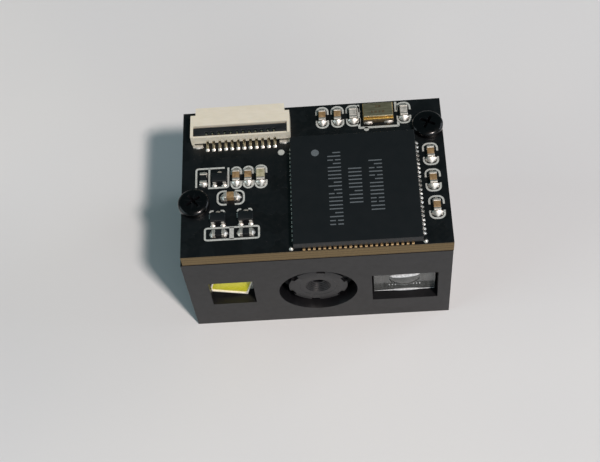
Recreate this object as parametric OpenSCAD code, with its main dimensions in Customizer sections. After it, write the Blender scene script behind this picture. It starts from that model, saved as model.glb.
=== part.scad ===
// Camera based code reading module: a black moulded housing with a lens,
// a white lamp and an aiming lens behind its front wall, closed on top by
// the decoder board. X runs to the right, Y to the back, Z up. The origin
// is the middle of the mounting face under the housing.

/* [Housing] */
// Width of the housing
housing_w = 21.35; // [20.5:0.05:30]
// Depth of the housing, front wall to rear cover
housing_d = 13.7; // [13.5:0.05:20]
// Height of the housing without the decoder board
housing_h = 10.35; // [10:0.05:14]
// Thickness of the side walls
side_wall = 1.0; // [0.7:0.05:1.2]
// Thickness of the front wall
front_wall = 1.3; // [1.1:0.05:1.6]
// Wall left in front of the white lamp
lamp_wall = 0.7; // [0.5:0.05:0.9]
// Thickness of the floor
floor_t = 1.2; // [0.9:0.05:1.5]
// Thickness of the rear cover
cover_t = 1.0; // [0.8:0.05:1.3]

/* [Front openings] */
// Diameter of the opening around the lens
bore_d = 6.4; // [6.1:0.05:7]
// Offset of the lens from the housing's middle
bore_x = -0.12; // [-0.5:0.01:0.5]
// Height of the optical axis above the mounting face
axis_h = 4.99; // [4.9:0.01:5.6]
// Width and height of the square lamp window
lamp_window = 3.6; // [3:0.05:4]
// Left side of the housing to the middle of the lamp window
lamp_window_inset = 3.55; // [3.4:0.05:4]
// Width of the aiming window
aim_window_w = 5.35; // [4.5:0.05:5.4]
// Height of the aiming window
aim_window_h = 4.2; // [3.5:0.05:4.6]
// Right side of the housing to the middle of the aiming window
aim_window_inset = 3.72; // [3.7:0.01:4.2]

/* [Decoder board] */
// Width of the board
board_w = 21.2; // [20.5:0.05:30]
// Thickness of the board
board_t = 1.2; // [0.8:0.05:1.6]
// Shift of the board to the right of the housing's middle
board_shift = 0.1; // [0:0.05:0.3]
// Height of the pads that lift the board off the walls
board_gap = 0.1; // [0.05:0.05:0.3]
// Diameter of the board screw's head
screw_head_d = 2.5; // [2:0.05:2.7]
// Height of the board screw's head
screw_head_h = 0.7; // [0.5:0.05:0.9]
// Diameter of the board screw's shank
screw_d = 1.2; // [1:0.05:1.3]
// Length of the board screw under its head
screw_l = 4.0; // [3:0.1:5]

/* [Processor] */
// Side of the square package
chip_side = 10; // [8.6:0.1:10.2]
// Height of the package on its board
chip_h = 0.85; // [0.7:0.05:1]
// Leads on each side
chip_leads = 22; // [12:1:22]
// Distance from lead to lead
chip_pitch = 0.4; // [0.3:0.01:0.4]

/* [Flat cable connector] */
// Number of contacts
cable_ways = 12; // [6:1:12]
// Distance from contact to contact
cable_pitch = 0.5; // [0.4:0.05:0.5]
// Width over the connector's ears
connector_w = 8.08; // [7.9:0.01:9]
// Height of the connector
connector_h = 1.2; // [1:0.05:1.5]

/* [Lens] */
// Diameter of the threaded lens barrel
barrel_d = 4.87; // [4.5:0.01:5]
// Length of the lens barrel
barrel_l = 3.85; // [3.6:0.05:4]
// How far the barrel stands behind the front wall's face
barrel_recess = 0.4; // [0.25:0.05:0.6]
// Radial play of the barrel in its holder
barrel_play = 0.05; // [0.02:0.01:0.1]
// Diameter of the cone's mouth in the barrel's front
cone_d = 2.06; // [1.6:0.02:2.6]
// Diameter of the aperture
aperture_d = 1.0; // [0.7:0.05:1.3]

/* [Mounting] */
// Distance between the two mounting holes
mount_spacing = 11; // [10:0.5:12]
// Diameter of the mounting holes
mount_hole_d = 1.4; // [1.2:0.05:1.6]
// Depth of the mounting holes
mount_hole_depth = 3.0; // [2.5:0.1:3.2]
// Mounting holes behind the middle of the housing
mount_y = 4.0; // [3.8:0.1:4.2]

/* [Hidden] */
$fn = 64;

// clearances
seat_gap = 0.05;
thread_gap = 0.02;
hinge_gap = 0.03;

// main planes and edges
front_y = -housing_d / 2;
rear_y = housing_d / 2;
wall_y = front_y + front_wall;
shell_rear_y = rear_y - cover_t;
left_in = -housing_w / 2 + side_wall;
right_in = housing_w / 2 - side_wall;
board_z = housing_h + board_gap;
top_z = board_z + board_t;
board_left = board_shift - board_w / 2;
board_right = board_shift + board_w / 2;
lamp_x = -housing_w / 2 + lamp_window_inset;
aim_x = housing_w / 2 - aim_window_inset;
lamp_z = axis_h + 0.33;
aim_z = axis_h - 0.14;

// screws that hold the decoder board, from its nearest edges
board_screw_at = [
  [board_left + 1.03, front_y + 4.75],
  [board_right - 1.2, rear_y - 2.74]
];
boss_d = 2.3;
board_hole_d = screw_d + 0.3;
head_r = screw_head_d / 2;

// screws that hold the rear cover
cover_screw_d = 1.0;
cover_screw_l = 3.5;
cover_head_d = 1.9;
cover_head_h = 0.5;
cover_boss_d = 2.0;
cover_screw_at = [
  [left_in + 0.675, housing_h - 1.95],
  [right_in - 0.675, floor_t + 0.8]
];
cover_boss_l = 4;
post_side = 0.8;
post_inset = 2.175;
post_gap = 0.45;
right_post_x = board_screw_at[1][0] - boss_d / 2 - post_gap - post_side / 2;

// lens column along the optical axis
barrel_y = front_y + barrel_recess;
barrel_r = barrel_d / 2;
barrel_bore_r = barrel_r - 0.535;
lens_r = barrel_bore_r - seat_gap;
cone_l = 0.6;
stop_l = 0.2;
front_lens_t = 1.0;
spacer_t = 0.5;
rear_lens_t = 0.9;
retainer_t = 0.45;
front_lens_y = barrel_y + cone_l + stop_l + thread_gap;
spacer_y = front_lens_y + front_lens_t + thread_gap;
rear_lens_y = spacer_y + spacer_t + thread_gap;
retainer_y = rear_lens_y + rear_lens_t + thread_gap;

// lens holder and the board with the image sensor
holder_side = 2 * (axis_h - floor_t - seat_gap);
holder_tube_d = barrel_d + 1.13;
holder_y = wall_y + 0.15;
holder_bore_r = barrel_r + barrel_play;
barrel_end_y = barrel_y + barrel_l;
focus_room = 0.4;
bore_end_y = barrel_end_y + focus_room;
filter_t = 0.3;
filter_side = 4.3;
filter_y = bore_end_y + 1.2;
cavity_y = filter_y + filter_t + 0.1;
sensor_y = cavity_y + 1.2;
holder_base_y = bore_end_y + 0.6;
sensor_t = 0.65;
sensor_glass_t = 0.2;
sensor_w = 4.6;
sensor_h = 4.2;
cavity_w = sensor_w + 0.8;
cavity_h = sensor_h + 0.8;
sensor_board_t = 0.8;
sensor_board_w = right_in - left_in - 0.75;
sensor_board_top = housing_h - 1.05;
sensor_screw_d = 0.8;
sensor_screw_off = 2.9;
rib_w = 0.675;
rib_l = 0.9;

// plug for the flat cable between the two boards
socket_w = 5;
socket_h = 2;
socket_t = 0.9;
flex_w = 4;
flex_t = 0.12;
flex_r = 1.2;
flex_y = sensor_y + sensor_board_t + socket_t / 2;
flex_end_z = board_z - socket_t / 2;
board_socket_y = flex_y + flex_r + 0.15;

// white lamp
lamp_w = 3.25;
lamp_h = 2.8;
lamp_t = 0.55;
lamp_turn = 16;
lamp_shift = -0.1;
lamp_rise = 0.37;
lamp_play = 0.06;
lamp_half_x = (lamp_w * cos(lamp_turn) + lamp_h * sin(lamp_turn)) / 2;
lamp_half_z = (lamp_w * sin(lamp_turn) + lamp_h * cos(lamp_turn)) / 2;
lamp_face_y = wall_y - lamp_t;
lamp_board_w = 4.6;
lamp_board_h = 5.2;
lamp_board_t = 0.6;
lamp_board_x = left_in + 0.075 + lamp_board_w / 2;
phosphor_rim = [0.15, 0.2];
phosphor_r = 0.25;
phosphor_depth = 0.15;
pin_side = 0.4;
pin_spacing = 2.0;

// aiming lens, its light tunnel and lamp
aim_play = 0.125;
aim_boss_w = aim_window_w - 2 * aim_play;
aim_boss_h = aim_window_h - 0.15;
aim_boss_l = 0.55;
aim_flange_t = 0.7;
aim_flange_h = aim_window_h + 1.0;
aim_dome_r = 1.25;
aim_dome_h = 0.35;
tunnel_w = 4.0;
tunnel_h = 4.0;
tunnel_wall = 0.4;

// shell of the mounting holes
mount_boss_d = 2.8;
mount_boss_h = 3.6;

// processor
chip_x = board_right - 7.36;
chip_y = front_y + 0.154 + chip_side / 2;
lead_w = 0.22;
lead_h = 0.2;
lead_in = 0.3;
lead_out = 0.12;

// flat cable connector, from the board's left and rear edges
conn_x = board_left + 0.78 + connector_w / 2;
conn_front = rear_y - 3.25;
conn_ear_rear = rear_y - 1.11;
conn_rear = rear_y - 0.4;
conn_slab_front = rear_y - 2.16;
conn_ear_t = 0.22;
conn_mouth_w = connector_w - 0.82;
mouth_wall = 0.4;
mouth_low = 0.35;
mouth_h = 0.4;
front_strip_t = 0.16;
front_strip_z = 0.25;
front_strip_top = connector_h - 0.12;
notch_w = 0.28;
notch_top = 0.62;
tail_l = 0.5;
tail_w = 0.22;
tail_t = 0.12;
row_span = (cable_ways - 1) * cable_pitch;
lock_w = connector_w - 2 * conn_ear_t - 2 * hinge_gap;
lock_t = 0.44;
lock_r = lock_t / 2;
lock_axis_y = conn_slab_front - lock_r - 0.05;
lock_axis_z = connector_h - 0.3;
lock_reach = lock_axis_y - conn_front - front_strip_t - hinge_gap;
lock_l = sqrt(lock_reach * lock_reach - lock_r * lock_r);
lock_pin_r = 0.12;
lock_pin_l = 0.12;
lock_slot_w = 0.22;
lock_slot_l = 0.34;
lock_slot_y = lock_axis_y - 0.47;
hook_h = 0.41;
hook_l = 0.15;

// chip components, sizes as length, width and height
cap_size = [1.05, 0.55, 0.5];
big_cap_size = [1.2, 0.65, 0.6];
bead_size = [1.05, 0.6, 0.5];
res_size = [1.0, 0.52, 0.33];
end_part = 0.24;
end_lip = 0.015;

// places as x and y from the named edges, then the turn
left_caps = [[4.40, 7.10, 90], [5.37, 7.10, 90], [3.95, 5.25, 0]];
right_caps = [[1.17, 8.25], [1.16, 5.77], [1.07, 3.25]];
rear_caps = [[11.50, 1.27], [12.75, 1.27]];
left_resistors = [[1.76, 7.09, 90], [3.00, 1.96, 0], [5.16, 1.94, 0]];
left_transistors = [[3.05, 7.04], [2.94, 3.33], [5.14, 3.33]];
big_cap_at = [6.38, 7.09];
beads = [[14.03, 1.25], [18.17, 1.25]];
transistor_size = [1.2, 0.8, 0.36];
transistor_leg_x = 0.4;
leg_w = 0.24;
leg_t = 0.1;
leg_l = 0.24;

// crystal in a ceramic case
crystal_size = [2.5, 1.7, 0.35];
ring_inset = [0.03, 0.04];
ring_t = 0.14;
lid_inset = [0.06, 0.17];
lid_t = 0.2;
crystal_at = [board_right - 5.13, rear_y - 1.23];

// parts under the decoder board
memory_size = [6, 5, 0.75];
memory_at = [board_left + 4.5, rear_y - 3.5];
regulator_size = [2.9, 1.6, 0.9];
regulator_at = [1.0, front_y + 3.2];
under_caps = [[4.3, -2.2], [5.5, -2.2], [4.3, -3.8], [5.5, -3.8]];

// round bar along Y from y, centred on x and z
module bar_y(x, y, z, l, r) {
  translate([x, y, z]) rotate([-90, 0, 0]) cylinder(h = l, r = r);
}

// block given by its low corner and its high corner
module span(low, high) {
  translate(low) cube(high - low);
}

// body of a chip component between its two metal ends
module chip_core(size) {
  core = size[0] - 2 * end_part;
  translate([-core / 2, -size[1] / 2, 0]) cube([core, size[1], size[2]]);
}

// the two metal ends, a little prouder than the body
module chip_caps(size) {
  width = size[1] + 2 * end_lip;
  for (side = [-1, 1])
    translate([side * (size[0] - end_part) / 2, 0, (size[2] + end_lip) / 2])
      cube([end_part, width, size[2] + end_lip], center = true);
}

// turned place on top of the decoder board
module on_board(x, y, turn = 0) {
  translate([x, y, top_z]) rotate([0, 0, turn]) children();
}

// hanging place under the decoder board
module under_board(x, y) {
  translate([x, y, board_z]) mirror([0, 0, 1]) children();
}

module housing() {
  color("#35353a") difference() {
    union() {
      difference() {
        span([-housing_w / 2, front_y, 0], [housing_w / 2, shell_rear_y, housing_h]);
        span([left_in, wall_y, floor_t], [right_in, rear_y, housing_h + 1]);
      }
      // columns for the board screws, up to the board's pads
      intersection() {
        span([-housing_w / 2, front_y, 0], [housing_w / 2, rear_y, top_z]);
        for (at = board_screw_at)
          translate([at[0], at[1], 0]) cylinder(h = board_z, d = boss_d);
      }
      // plain pads in the other two corners
      span([-housing_w / 2, rear_y - 2.4, housing_h - 1], [left_in, rear_y - 1.4, board_z]);
      span([right_in, front_y + 0.3, housing_h - 1], [housing_w / 2, front_y + 1.3, board_z]);
      // columns for the cover screws
      intersection() {
        span([-housing_w / 2, front_y, 0], [housing_w / 2, rear_y, housing_h]);
        for (at = cover_screw_at)
          bar_y(at[0], shell_rear_y - cover_boss_l, at[1], cover_boss_l, cover_boss_d / 2);
      }
      // ribs that stop the sensor board
      for (x = [left_in, right_in - rib_w])
        span([x, sensor_y - rib_l, floor_t / 2], [x + rib_w, sensor_y, sensor_board_top - 0.3]);
      // columns of the mounting holes
      for (side = [-1, 1])
        translate([side * mount_spacing / 2, mount_y, 0]) cylinder(h = mount_boss_h, d = mount_boss_d);
    }
    bar_y(bore_x, front_y - 1, axis_h, front_wall + 2, bore_d / 2);
    translate([lamp_x, front_y, lamp_z])
      cube([lamp_window, 2 * front_wall + 0.2, lamp_window], center = true);
    // pocket behind the thin wall around the lamp
    span([lamp_x + lamp_shift - lamp_half_x - lamp_play, front_y + lamp_wall,
          axis_h + lamp_rise - lamp_half_z - lamp_play],
         [lamp_x + lamp_shift + lamp_half_x + lamp_play, wall_y + 0.1,
          axis_h + lamp_rise + lamp_half_z + lamp_play]);
    translate([aim_x, front_y, aim_z])
      cube([aim_window_w, 2 * front_wall + 0.2, aim_window_h], center = true);
    for (at = board_screw_at)
      translate([at[0], at[1], top_z - screw_l - 0.3]) cylinder(h = screw_l, d = screw_d + 2 * thread_gap);
    for (at = cover_screw_at)
      bar_y(at[0], shell_rear_y - cover_screw_l, at[1], cover_screw_l + 1, cover_screw_d / 2 + thread_gap);
    for (side = [-1, 1])
      translate([side * mount_spacing / 2, mount_y, -1]) cylinder(h = mount_hole_depth + 1, d = mount_hole_d);
  }
}

module rear_cover() {
  color("#35353a") difference() {
    union() {
      span([-housing_w / 2, shell_rear_y, 0], [housing_w / 2, rear_y, housing_h]);
      // posts that press the sensor board against its ribs
      for (x = [left_in + post_inset, right_post_x])
        span([x - post_side / 2, sensor_y + sensor_board_t, axis_h - post_side / 2],
             [x + post_side / 2, shell_rear_y + 0.1, axis_h + post_side / 2]);
    }
    for (at = cover_screw_at) {
      bar_y(at[0], shell_rear_y - 0.5, at[1], cover_t + 1, cover_screw_d / 2 + 0.1);
      bar_y(at[0], rear_y - cover_head_h - 0.05, at[1], 1, cover_head_d / 2 + 0.1);
    }
  }
}

module cover_screws() {
  head_y = rear_y - cover_head_h - 0.05;
  color("#2a2a2c") for (at = cover_screw_at)
    difference() {
      union() {
        bar_y(at[0], head_y, at[1], cover_head_h, cover_head_d / 2);
        bar_y(at[0], shell_rear_y - cover_screw_l + 0.3, at[1], head_y - shell_rear_y + cover_screw_l - 0.2,
              cover_screw_d / 2);
      }
      for (turn = [0, 90])
        translate([at[0], rear_y, at[1]]) rotate([0, turn + 45, 0])
          cube([1.1, 0.7, 0.25], center = true);
    }
}

module decoder_board() {
  color("#1b2222") difference() {
    span([board_left, front_y, board_z], [board_right, rear_y, top_z]);
    for (at = board_screw_at)
      translate([at[0], at[1], board_z - 1]) cylinder(h = board_t + 2, d = board_hole_d);
  }
}

// pan head, domed and cut by a cross recess
module board_screws() {
  color("#18181a") for (at = board_screw_at)
    translate([at[0], at[1], top_z]) difference() {
      union() {
        translate([0, 0, -screw_l]) cylinder(h = screw_l + 0.1, d = screw_d);
        cylinder(h = screw_head_h - 0.3, r = head_r);
        translate([0, 0, screw_head_h - 0.3]) cylinder(h = 0.3, r1 = head_r, r2 = head_r - 0.35);
      }
      for (turn = [0, 90])
        translate([0, 0, screw_head_h]) rotate([0, 0, turn + 55])
          cube([1.5, 0.3, 0.8], center = true);
    }
}

module processor() {
  inner = chip_side / 2 - lead_in;
  half = chip_side / 2;
  color("#1b2024") translate([chip_x, chip_y, top_z]) union() {
    span([-half, -half, lead_h], [half, half, chip_h]);
    span([-inner, -inner, 0], [inner, inner, lead_h + 0.05]);
  }
}

module processor_leads() {
  half = chip_side / 2;
  first = -(chip_leads - 1) * chip_pitch / 2;
  color("#c8b27a") translate([chip_x, chip_y, top_z])
    for (side = [0:3], i = [0:chip_leads - 1])
      rotate([0, 0, side * 90])
        translate([first + i * chip_pitch - lead_w / 2, -half - lead_out, 0])
          cube([lead_w, lead_out + lead_in, lead_h]);
}

module connector_housing() {
  ear_x = connector_w / 2;
  mouth_x = conn_mouth_w / 2;
  color("#d6d0bf") translate([conn_x, 0, top_z]) difference() {
    union() {
      // floor under the contacts
      span([-ear_x, conn_front + front_strip_t, 0], [ear_x, conn_ear_rear, mouth_low]);
      span([-mouth_x, conn_ear_rear - 0.1, 0], [mouth_x, conn_rear, mouth_low]);
      // ears at both ends
      for (side = [-1, 1])
        span([side * (ear_x - conn_ear_t / 2) - conn_ear_t / 2, conn_front, 0],
             [side * (ear_x - conn_ear_t / 2) + conn_ear_t / 2, conn_ear_rear, connector_h]);
      // slab over the mouth
      span([-mouth_x, conn_slab_front, 0], [mouth_x, conn_rear, connector_h]);
      span([-ear_x, conn_slab_front, 0], [ear_x, conn_ear_rear, connector_h]);
      // strip over the tails
      span([-ear_x, conn_front, front_strip_z], [ear_x, conn_front + front_strip_t, front_strip_top]);
    }
    // mouth for the cable
    span([-mouth_x + mouth_wall, conn_slab_front - 1, mouth_low],
         [mouth_x - mouth_wall, conn_rear + 1, mouth_low + mouth_h]);
    // grooves for the contacts
    for (i = [0:cable_ways - 1])
      translate([i * cable_pitch - row_span / 2, 0, 0])
        span([-tail_w / 2, conn_front - 1, -1], [tail_w / 2, conn_rear - 0.5, mouth_low + 0.01]);
    // comb that the tails come out of
    for (i = [0:cable_ways - 1])
      translate([i * cable_pitch - row_span / 2, 0, 0])
        span([-notch_w / 2, conn_front - 1, -1], [notch_w / 2, conn_front + front_strip_t / 2, notch_top]);
    // seats of the lock's pins
    for (side = [-1, 1])
      translate([side * (ear_x - conn_ear_t), lock_axis_y, lock_axis_z]) rotate([0, 90, 0])
        cylinder(h = 2 * (lock_pin_l + hinge_gap), r = lock_pin_r + hinge_gap, center = true);
  }
}

// one contact: a tail on the board, a step into the housing, a spring arm
// along the cable and a hook that shows through the lock
module connector_contacts() {
  arm_z = mouth_low - 0.1;
  color("#d9cfa8") for (i = [0:cable_ways - 1])
    translate([conn_x + i * cable_pitch - row_span / 2 - tail_w / 2, 0, top_z]) {
      union() {
        span([0, conn_front - tail_l, 0], [tail_w, conn_rear - 0.6, tail_t]);
        span([0, conn_front + 0.3, 0], [tail_w, conn_rear - 0.6, arm_z]);
        span([0.04, lock_slot_y - hook_l / 2, 0], [tail_w - 0.04, lock_slot_y + hook_l / 2,
             lock_axis_z - lock_r + hook_h - 0.02]);
      }
    }
}

module connector_tabs() {
  color("#c9ccce") for (side = [-1, 1])
    translate([conn_x + side * (connector_w / 2 - 0.5), conn_front, top_z])
      span([-0.41, -0.28, 0], [0.41, 0, 0.15]);
}

module connector_lock() {
  half = lock_w / 2;
  color("#2b2c2e") translate([conn_x, lock_axis_y, top_z + lock_axis_z]) difference() {
    union() {
      rotate([0, 90, 0]) cylinder(h = lock_w, r = lock_r, center = true);
      span([-half, -lock_l, -lock_r], [half, 0, lock_r]);
      rotate([0, 90, 0]) cylinder(h = lock_w + 2 * (lock_pin_l + hinge_gap), r = lock_pin_r, center = true);
    }
    for (i = [0:cable_ways - 1])
      translate([i * cable_pitch - row_span / 2, lock_slot_y - lock_axis_y, 0])
        cube([lock_slot_w, lock_slot_l, 2 * lock_t], center = true);
  }
}

module crystal_base() {
  color("#4a4030") on_board(crystal_at[0], crystal_at[1])
    translate([-crystal_size[0] / 2, -crystal_size[1] / 2, 0]) cube(crystal_size);
}

// plate of the crystal's case, inset from the ceramic on all sides
module crystal_plate(inset, z, t) {
  w = crystal_size[0] - 2 * inset[0];
  d = crystal_size[1] - 2 * inset[1];
  on_board(crystal_at[0], crystal_at[1]) translate([-w / 2, -d / 2, z]) cube([w, d, t]);
}

module crystal_ring() {
  color("#d8b45a") crystal_plate(ring_inset, crystal_size[2], ring_t);
}

module crystal_lid() {
  color("#8d8766") crystal_plate(lid_inset, crystal_size[2] + ring_t, lid_t);
}

// places of the small brown capacitors on the board
module each_capacitor() {
  for (at = left_caps) on_board(board_left + at[0], front_y + at[1], at[2]) children();
  for (at = right_caps) on_board(board_right - at[0], front_y + at[1], 90) children();
  for (at = rear_caps) on_board(board_left + at[0], rear_y - at[1], 90) children();
}

module capacitor_bodies() {
  color("#a8814f") each_capacitor() chip_core(cap_size);
}

module capacitor_ends() {
  color("#c9ccce") each_capacitor() chip_caps(cap_size);
}

module each_big_capacitor() {
  on_board(board_left + big_cap_at[0], front_y + big_cap_at[1], 90) children();
}

module large_capacitor() {
  color("#b7ac85") each_big_capacitor() chip_core(big_cap_size);
}

module large_capacitor_ends() {
  color("#c9ccce") each_big_capacitor() chip_caps(big_cap_size);
}

module each_bead() {
  for (at = beads) on_board(board_left + at[0], rear_y - at[1], 90) children();
}

module bead_bodies() {
  color("#a9a8a4") each_bead() chip_core(bead_size);
}

module bead_ends() {
  color("#c9ccce") each_bead() chip_caps(bead_size);
}

module each_resistor() {
  for (at = left_resistors) on_board(board_left + at[0], front_y + at[1], at[2]) children();
}

module resistor_bodies() {
  color("#202224") each_resistor() chip_core(res_size);
}

module resistor_ends() {
  color("#c9ccce") each_resistor() chip_caps(res_size);
}

module each_transistor() {
  for (at = left_transistors) on_board(board_left + at[0], front_y + at[1]) children();
}

module transistor_bodies() {
  s = transistor_size;
  color("#24262a") each_transistor() translate([-s[0] / 2, -s[1] / 2, 0.05]) cube(s);
}

// leg of a small package, bent down to the board; it starts at the body
module leg(top) {
  rotate([90, 0, 90]) linear_extrude(leg_w, center = true)
    polygon([[0, top], [0, top - leg_t], [-leg_t / 2, 0], [-leg_l, 0], [-leg_l, leg_t], [-leg_t * 1.3, leg_t],
             [-leg_t * 0.9, top]]);
}

module transistor_leads() {
  front = transistor_size[1] / 2;
  color("#c9ccce") each_transistor() {
    for (x = [-transistor_leg_x, transistor_leg_x]) translate([x, -front, 0]) leg(0.3);
    rotate([0, 0, 180]) translate([0, -front, 0]) leg(0.3);
  }
}

module memory_chip() {
  s = memory_size;
  color("#1f2224") under_board(memory_at[0], memory_at[1])
    translate([-s[0] / 2, -s[1] / 2, 0.05]) cube([s[0], s[1], s[2] - 0.05]);
}

module memory_pads() {
  s = memory_size;
  color("#c9ccce") under_board(memory_at[0], memory_at[1])
    for (side = [-1, 1], i = [-1.5:1:1.5])
      translate([side * (s[0] / 2 - 0.25), i * 1.27, 0.025]) cube([0.6, 0.42, 0.05], center = true);
}

module regulator() {
  s = regulator_size;
  color("#222528") under_board(regulator_at[0], regulator_at[1])
    translate([-s[0] / 2, -s[1] / 2, 0.05]) cube([s[0], s[1], s[2]]);
}

module regulator_leads() {
  front = regulator_size[1] / 2;
  color("#c9ccce") under_board(regulator_at[0], regulator_at[1]) {
    for (x = [-0.95, 0, 0.95]) translate([x, -front, 0]) leg(0.45);
    rotate([0, 0, 180]) for (x = [-0.95, 0.95]) translate([x, -front, 0]) leg(0.45);
  }
}

module each_under_capacitor() {
  for (at = under_caps) under_board(at[0], rear_y + at[1]) rotate([0, 0, 90]) children();
}

module underside_capacitors() {
  color("#a8814f") each_under_capacitor() chip_core(cap_size);
}

module underside_capacitor_ends() {
  color("#c9ccce") each_under_capacitor() chip_caps(cap_size);
}

// barrel with a cone in its front face and notches for the focus key
module lens_barrel() {
  notch = [0.7, 0.9, 0.6];
  color("#2c2d33") translate([bore_x, 0, axis_h]) difference() {
    bar_y(0, barrel_y, 0, barrel_l, barrel_r);
    translate([0, barrel_y, 0]) rotate([-90, 0, 0]) cylinder(h = cone_l, d1 = cone_d, d2 = aperture_d);
    bar_y(0, barrel_y - 1, 0, barrel_l, aperture_d / 2);
    bar_y(0, barrel_y + cone_l + stop_l, 0, barrel_l, barrel_bore_r);
    for (turn = [0:60:300])
      rotate([0, turn + 8, 0]) translate([0, barrel_y, barrel_r + 0.12]) cube(notch, center = true);
  }
}

module lens_retainer() {
  color("#1d1d1f") translate([bore_x, 0, axis_h]) difference() {
    bar_y(0, retainer_y, 0, retainer_t, barrel_bore_r - thread_gap);
    bar_y(0, retainer_y - 1, 0, retainer_t + 2, 1.3);
  }
}

// glass disc, bulged to the front by a ball of the radius given
module lens_disc(y, t, ball) {
  intersection() {
    bar_y(bore_x, y, axis_h, t, lens_r);
    translate([bore_x, y + ball, axis_h]) sphere(r = ball);
  }
}

module front_lens() {
  color("#8fa3b8", 0.5) lens_disc(front_lens_y, front_lens_t, 4);
}

module lens_spacer() {
  color("#1d1d1f") translate([bore_x, 0, axis_h]) difference() {
    bar_y(0, spacer_y, 0, spacer_t, lens_r);
    bar_y(0, spacer_y - 1, 0, spacer_t + 2, 1.2);
  }
}

module rear_lens() {
  color("#8fa3b8", 0.5) lens_disc(rear_lens_y, rear_lens_t, 5);
}

module lens_holder() {
  half = holder_side / 2;
  color("#1c1c1e") translate([bore_x, 0, axis_h]) difference() {
    union() {
      span([-half, holder_base_y, -half], [half, sensor_y, half]);
      bar_y(0, holder_y, 0, holder_base_y - holder_y + 0.1, holder_tube_d / 2);
    }
    bar_y(0, holder_y - 1, 0, bore_end_y - holder_y + 1, holder_bore_r);
    bar_y(0, holder_y, 0, filter_y - holder_y + 0.1, 1.7);
    span([-filter_side / 2 - seat_gap, filter_y, -filter_side / 2 - seat_gap],
         [filter_side / 2 + seat_gap, sensor_y, filter_side / 2 + seat_gap]);
    span([-cavity_w / 2, cavity_y, -cavity_h / 2], [cavity_w / 2, sensor_y + 1, cavity_h / 2]);
    for (side = [-1, 1])
      bar_y(side * sensor_screw_off, sensor_y - 1.7, -side * sensor_screw_off, 2,
            sensor_screw_d / 2 + thread_gap);
  }
}

module sensor_screws() {
  head_y = sensor_y + sensor_board_t;
  color("#8d8f92") for (side = [-1, 1])
    translate([bore_x + side * sensor_screw_off, 0, axis_h - side * sensor_screw_off]) difference() {
      union() {
        bar_y(0, sensor_y - 1.5, 0, sensor_board_t + 1.6, sensor_screw_d / 2);
        bar_y(0, head_y, 0, 0.4, sensor_screw_d);
      }
      for (turn = [45, 135])
        translate([0, head_y + 0.4, 0]) rotate([0, turn, 0]) cube([0.9, 0.4, 0.2], center = true);
    }
}

module ir_filter() {
  half = filter_side / 2;
  color("#b65a6a", 0.5)
    span([bore_x - half, filter_y, axis_h - half], [bore_x + half, filter_y + filter_t, axis_h + half]);
}

module image_sensor() {
  color("#3c4a44")
    span([bore_x - sensor_w / 2, sensor_y - sensor_t, axis_h - sensor_h / 2],
         [bore_x + sensor_w / 2, sensor_y, axis_h + sensor_h / 2]);
}

module sensor_cover_glass() {
  w = sensor_w / 2 - 0.3;
  h = sensor_h / 2 - 0.4;
  color("#8aa0a8", 0.5)
    span([bore_x - w, sensor_y - sensor_t - sensor_glass_t, axis_h - h],
         [bore_x + w, sensor_y - sensor_t, axis_h + h]);
}

module sensor_board() {
  color("#1f3a2c") difference() {
    span([-sensor_board_w / 2, sensor_y, floor_t],
         [sensor_board_w / 2, sensor_y + sensor_board_t, sensor_board_top]);
    for (side = [-1, 1])
      bar_y(bore_x + side * sensor_screw_off, sensor_y - 1, axis_h - side * sensor_screw_off, 3,
            sensor_screw_d / 2 + 0.1);
  }
}

module sensor_socket() {
  y = sensor_y + sensor_board_t;
  color("#d6d0bf")
    span([bore_x - socket_w / 2, y, axis_h - socket_h / 2],
         [bore_x + socket_w / 2, y + socket_t, axis_h + socket_h / 2]);
}

module board_socket() {
  color("#d6d0bf")
    span([bore_x - socket_w / 2, board_socket_y, board_z - socket_t],
         [bore_x + socket_w / 2, board_socket_y + socket_h, board_z]);
}

// flat cable: straight up from one socket, a quarter turn, into the other
module sensor_flex() {
  bend_z = flex_end_z - flex_r;
  start_z = axis_h + socket_h / 2;
  color("#b87a2a") translate([bore_x, 0, 0]) rotate([90, 0, 90])
    linear_extrude(flex_w, center = true) union() {
      translate([flex_y - flex_t / 2, start_z]) square([flex_t, bend_z - start_z]);
      intersection() {
        translate([flex_y + flex_r, bend_z]) difference() {
          circle(r = flex_r + flex_t / 2);
          circle(r = flex_r - flex_t / 2);
        }
        translate([flex_y - flex_t, bend_z]) square([flex_r + flex_t, flex_r + flex_t]);
      }
      translate([flex_y + flex_r, flex_end_z - flex_t / 2])
        square([board_socket_y - flex_y - flex_r, flex_t]);
    }
}

module lamp_board() {
  color("#e4e4de")
    span([lamp_board_x - lamp_board_w / 2, wall_y, axis_h - lamp_board_h / 2],
         [lamp_board_x + lamp_board_w / 2, wall_y + lamp_board_t, axis_h + lamp_board_h / 2]);
}

// turned place of the lamp, which was soldered a little askew
module at_lamp() {
  translate([lamp_x + lamp_shift, lamp_face_y, axis_h + lamp_rise]) rotate([0, lamp_turn, 0]) children();
}

// the phosphor's outline, with round corners, as a plate from y = 0 to y = t
module phosphor_plate(t) {
  w = lamp_w - 2 * phosphor_rim[0];
  h = lamp_h - 2 * phosphor_rim[1];
  rotate([-90, 0, 0]) linear_extrude(t) union() {
    square([w, h - 2 * phosphor_r], center = true);
    square([w - 2 * phosphor_r, h], center = true);
    for (x = [-1, 1], z = [-1, 1])
      translate([x * (w / 2 - phosphor_r), z * (h / 2 - phosphor_r)]) circle(r = phosphor_r);
  }
}

module lamp_package() {
  color("#e9e4cf") at_lamp() difference() {
    translate([-lamp_w / 2, 0, -lamp_h / 2]) cube([lamp_w, lamp_t, lamp_h]);
    translate([0, -1, 0]) phosphor_plate(1 + phosphor_depth);
  }
}

module lamp_phosphor() {
  color("#d8d23a") at_lamp() translate([0, 0.03, 0]) phosphor_plate(phosphor_depth - 0.03);
}

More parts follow.
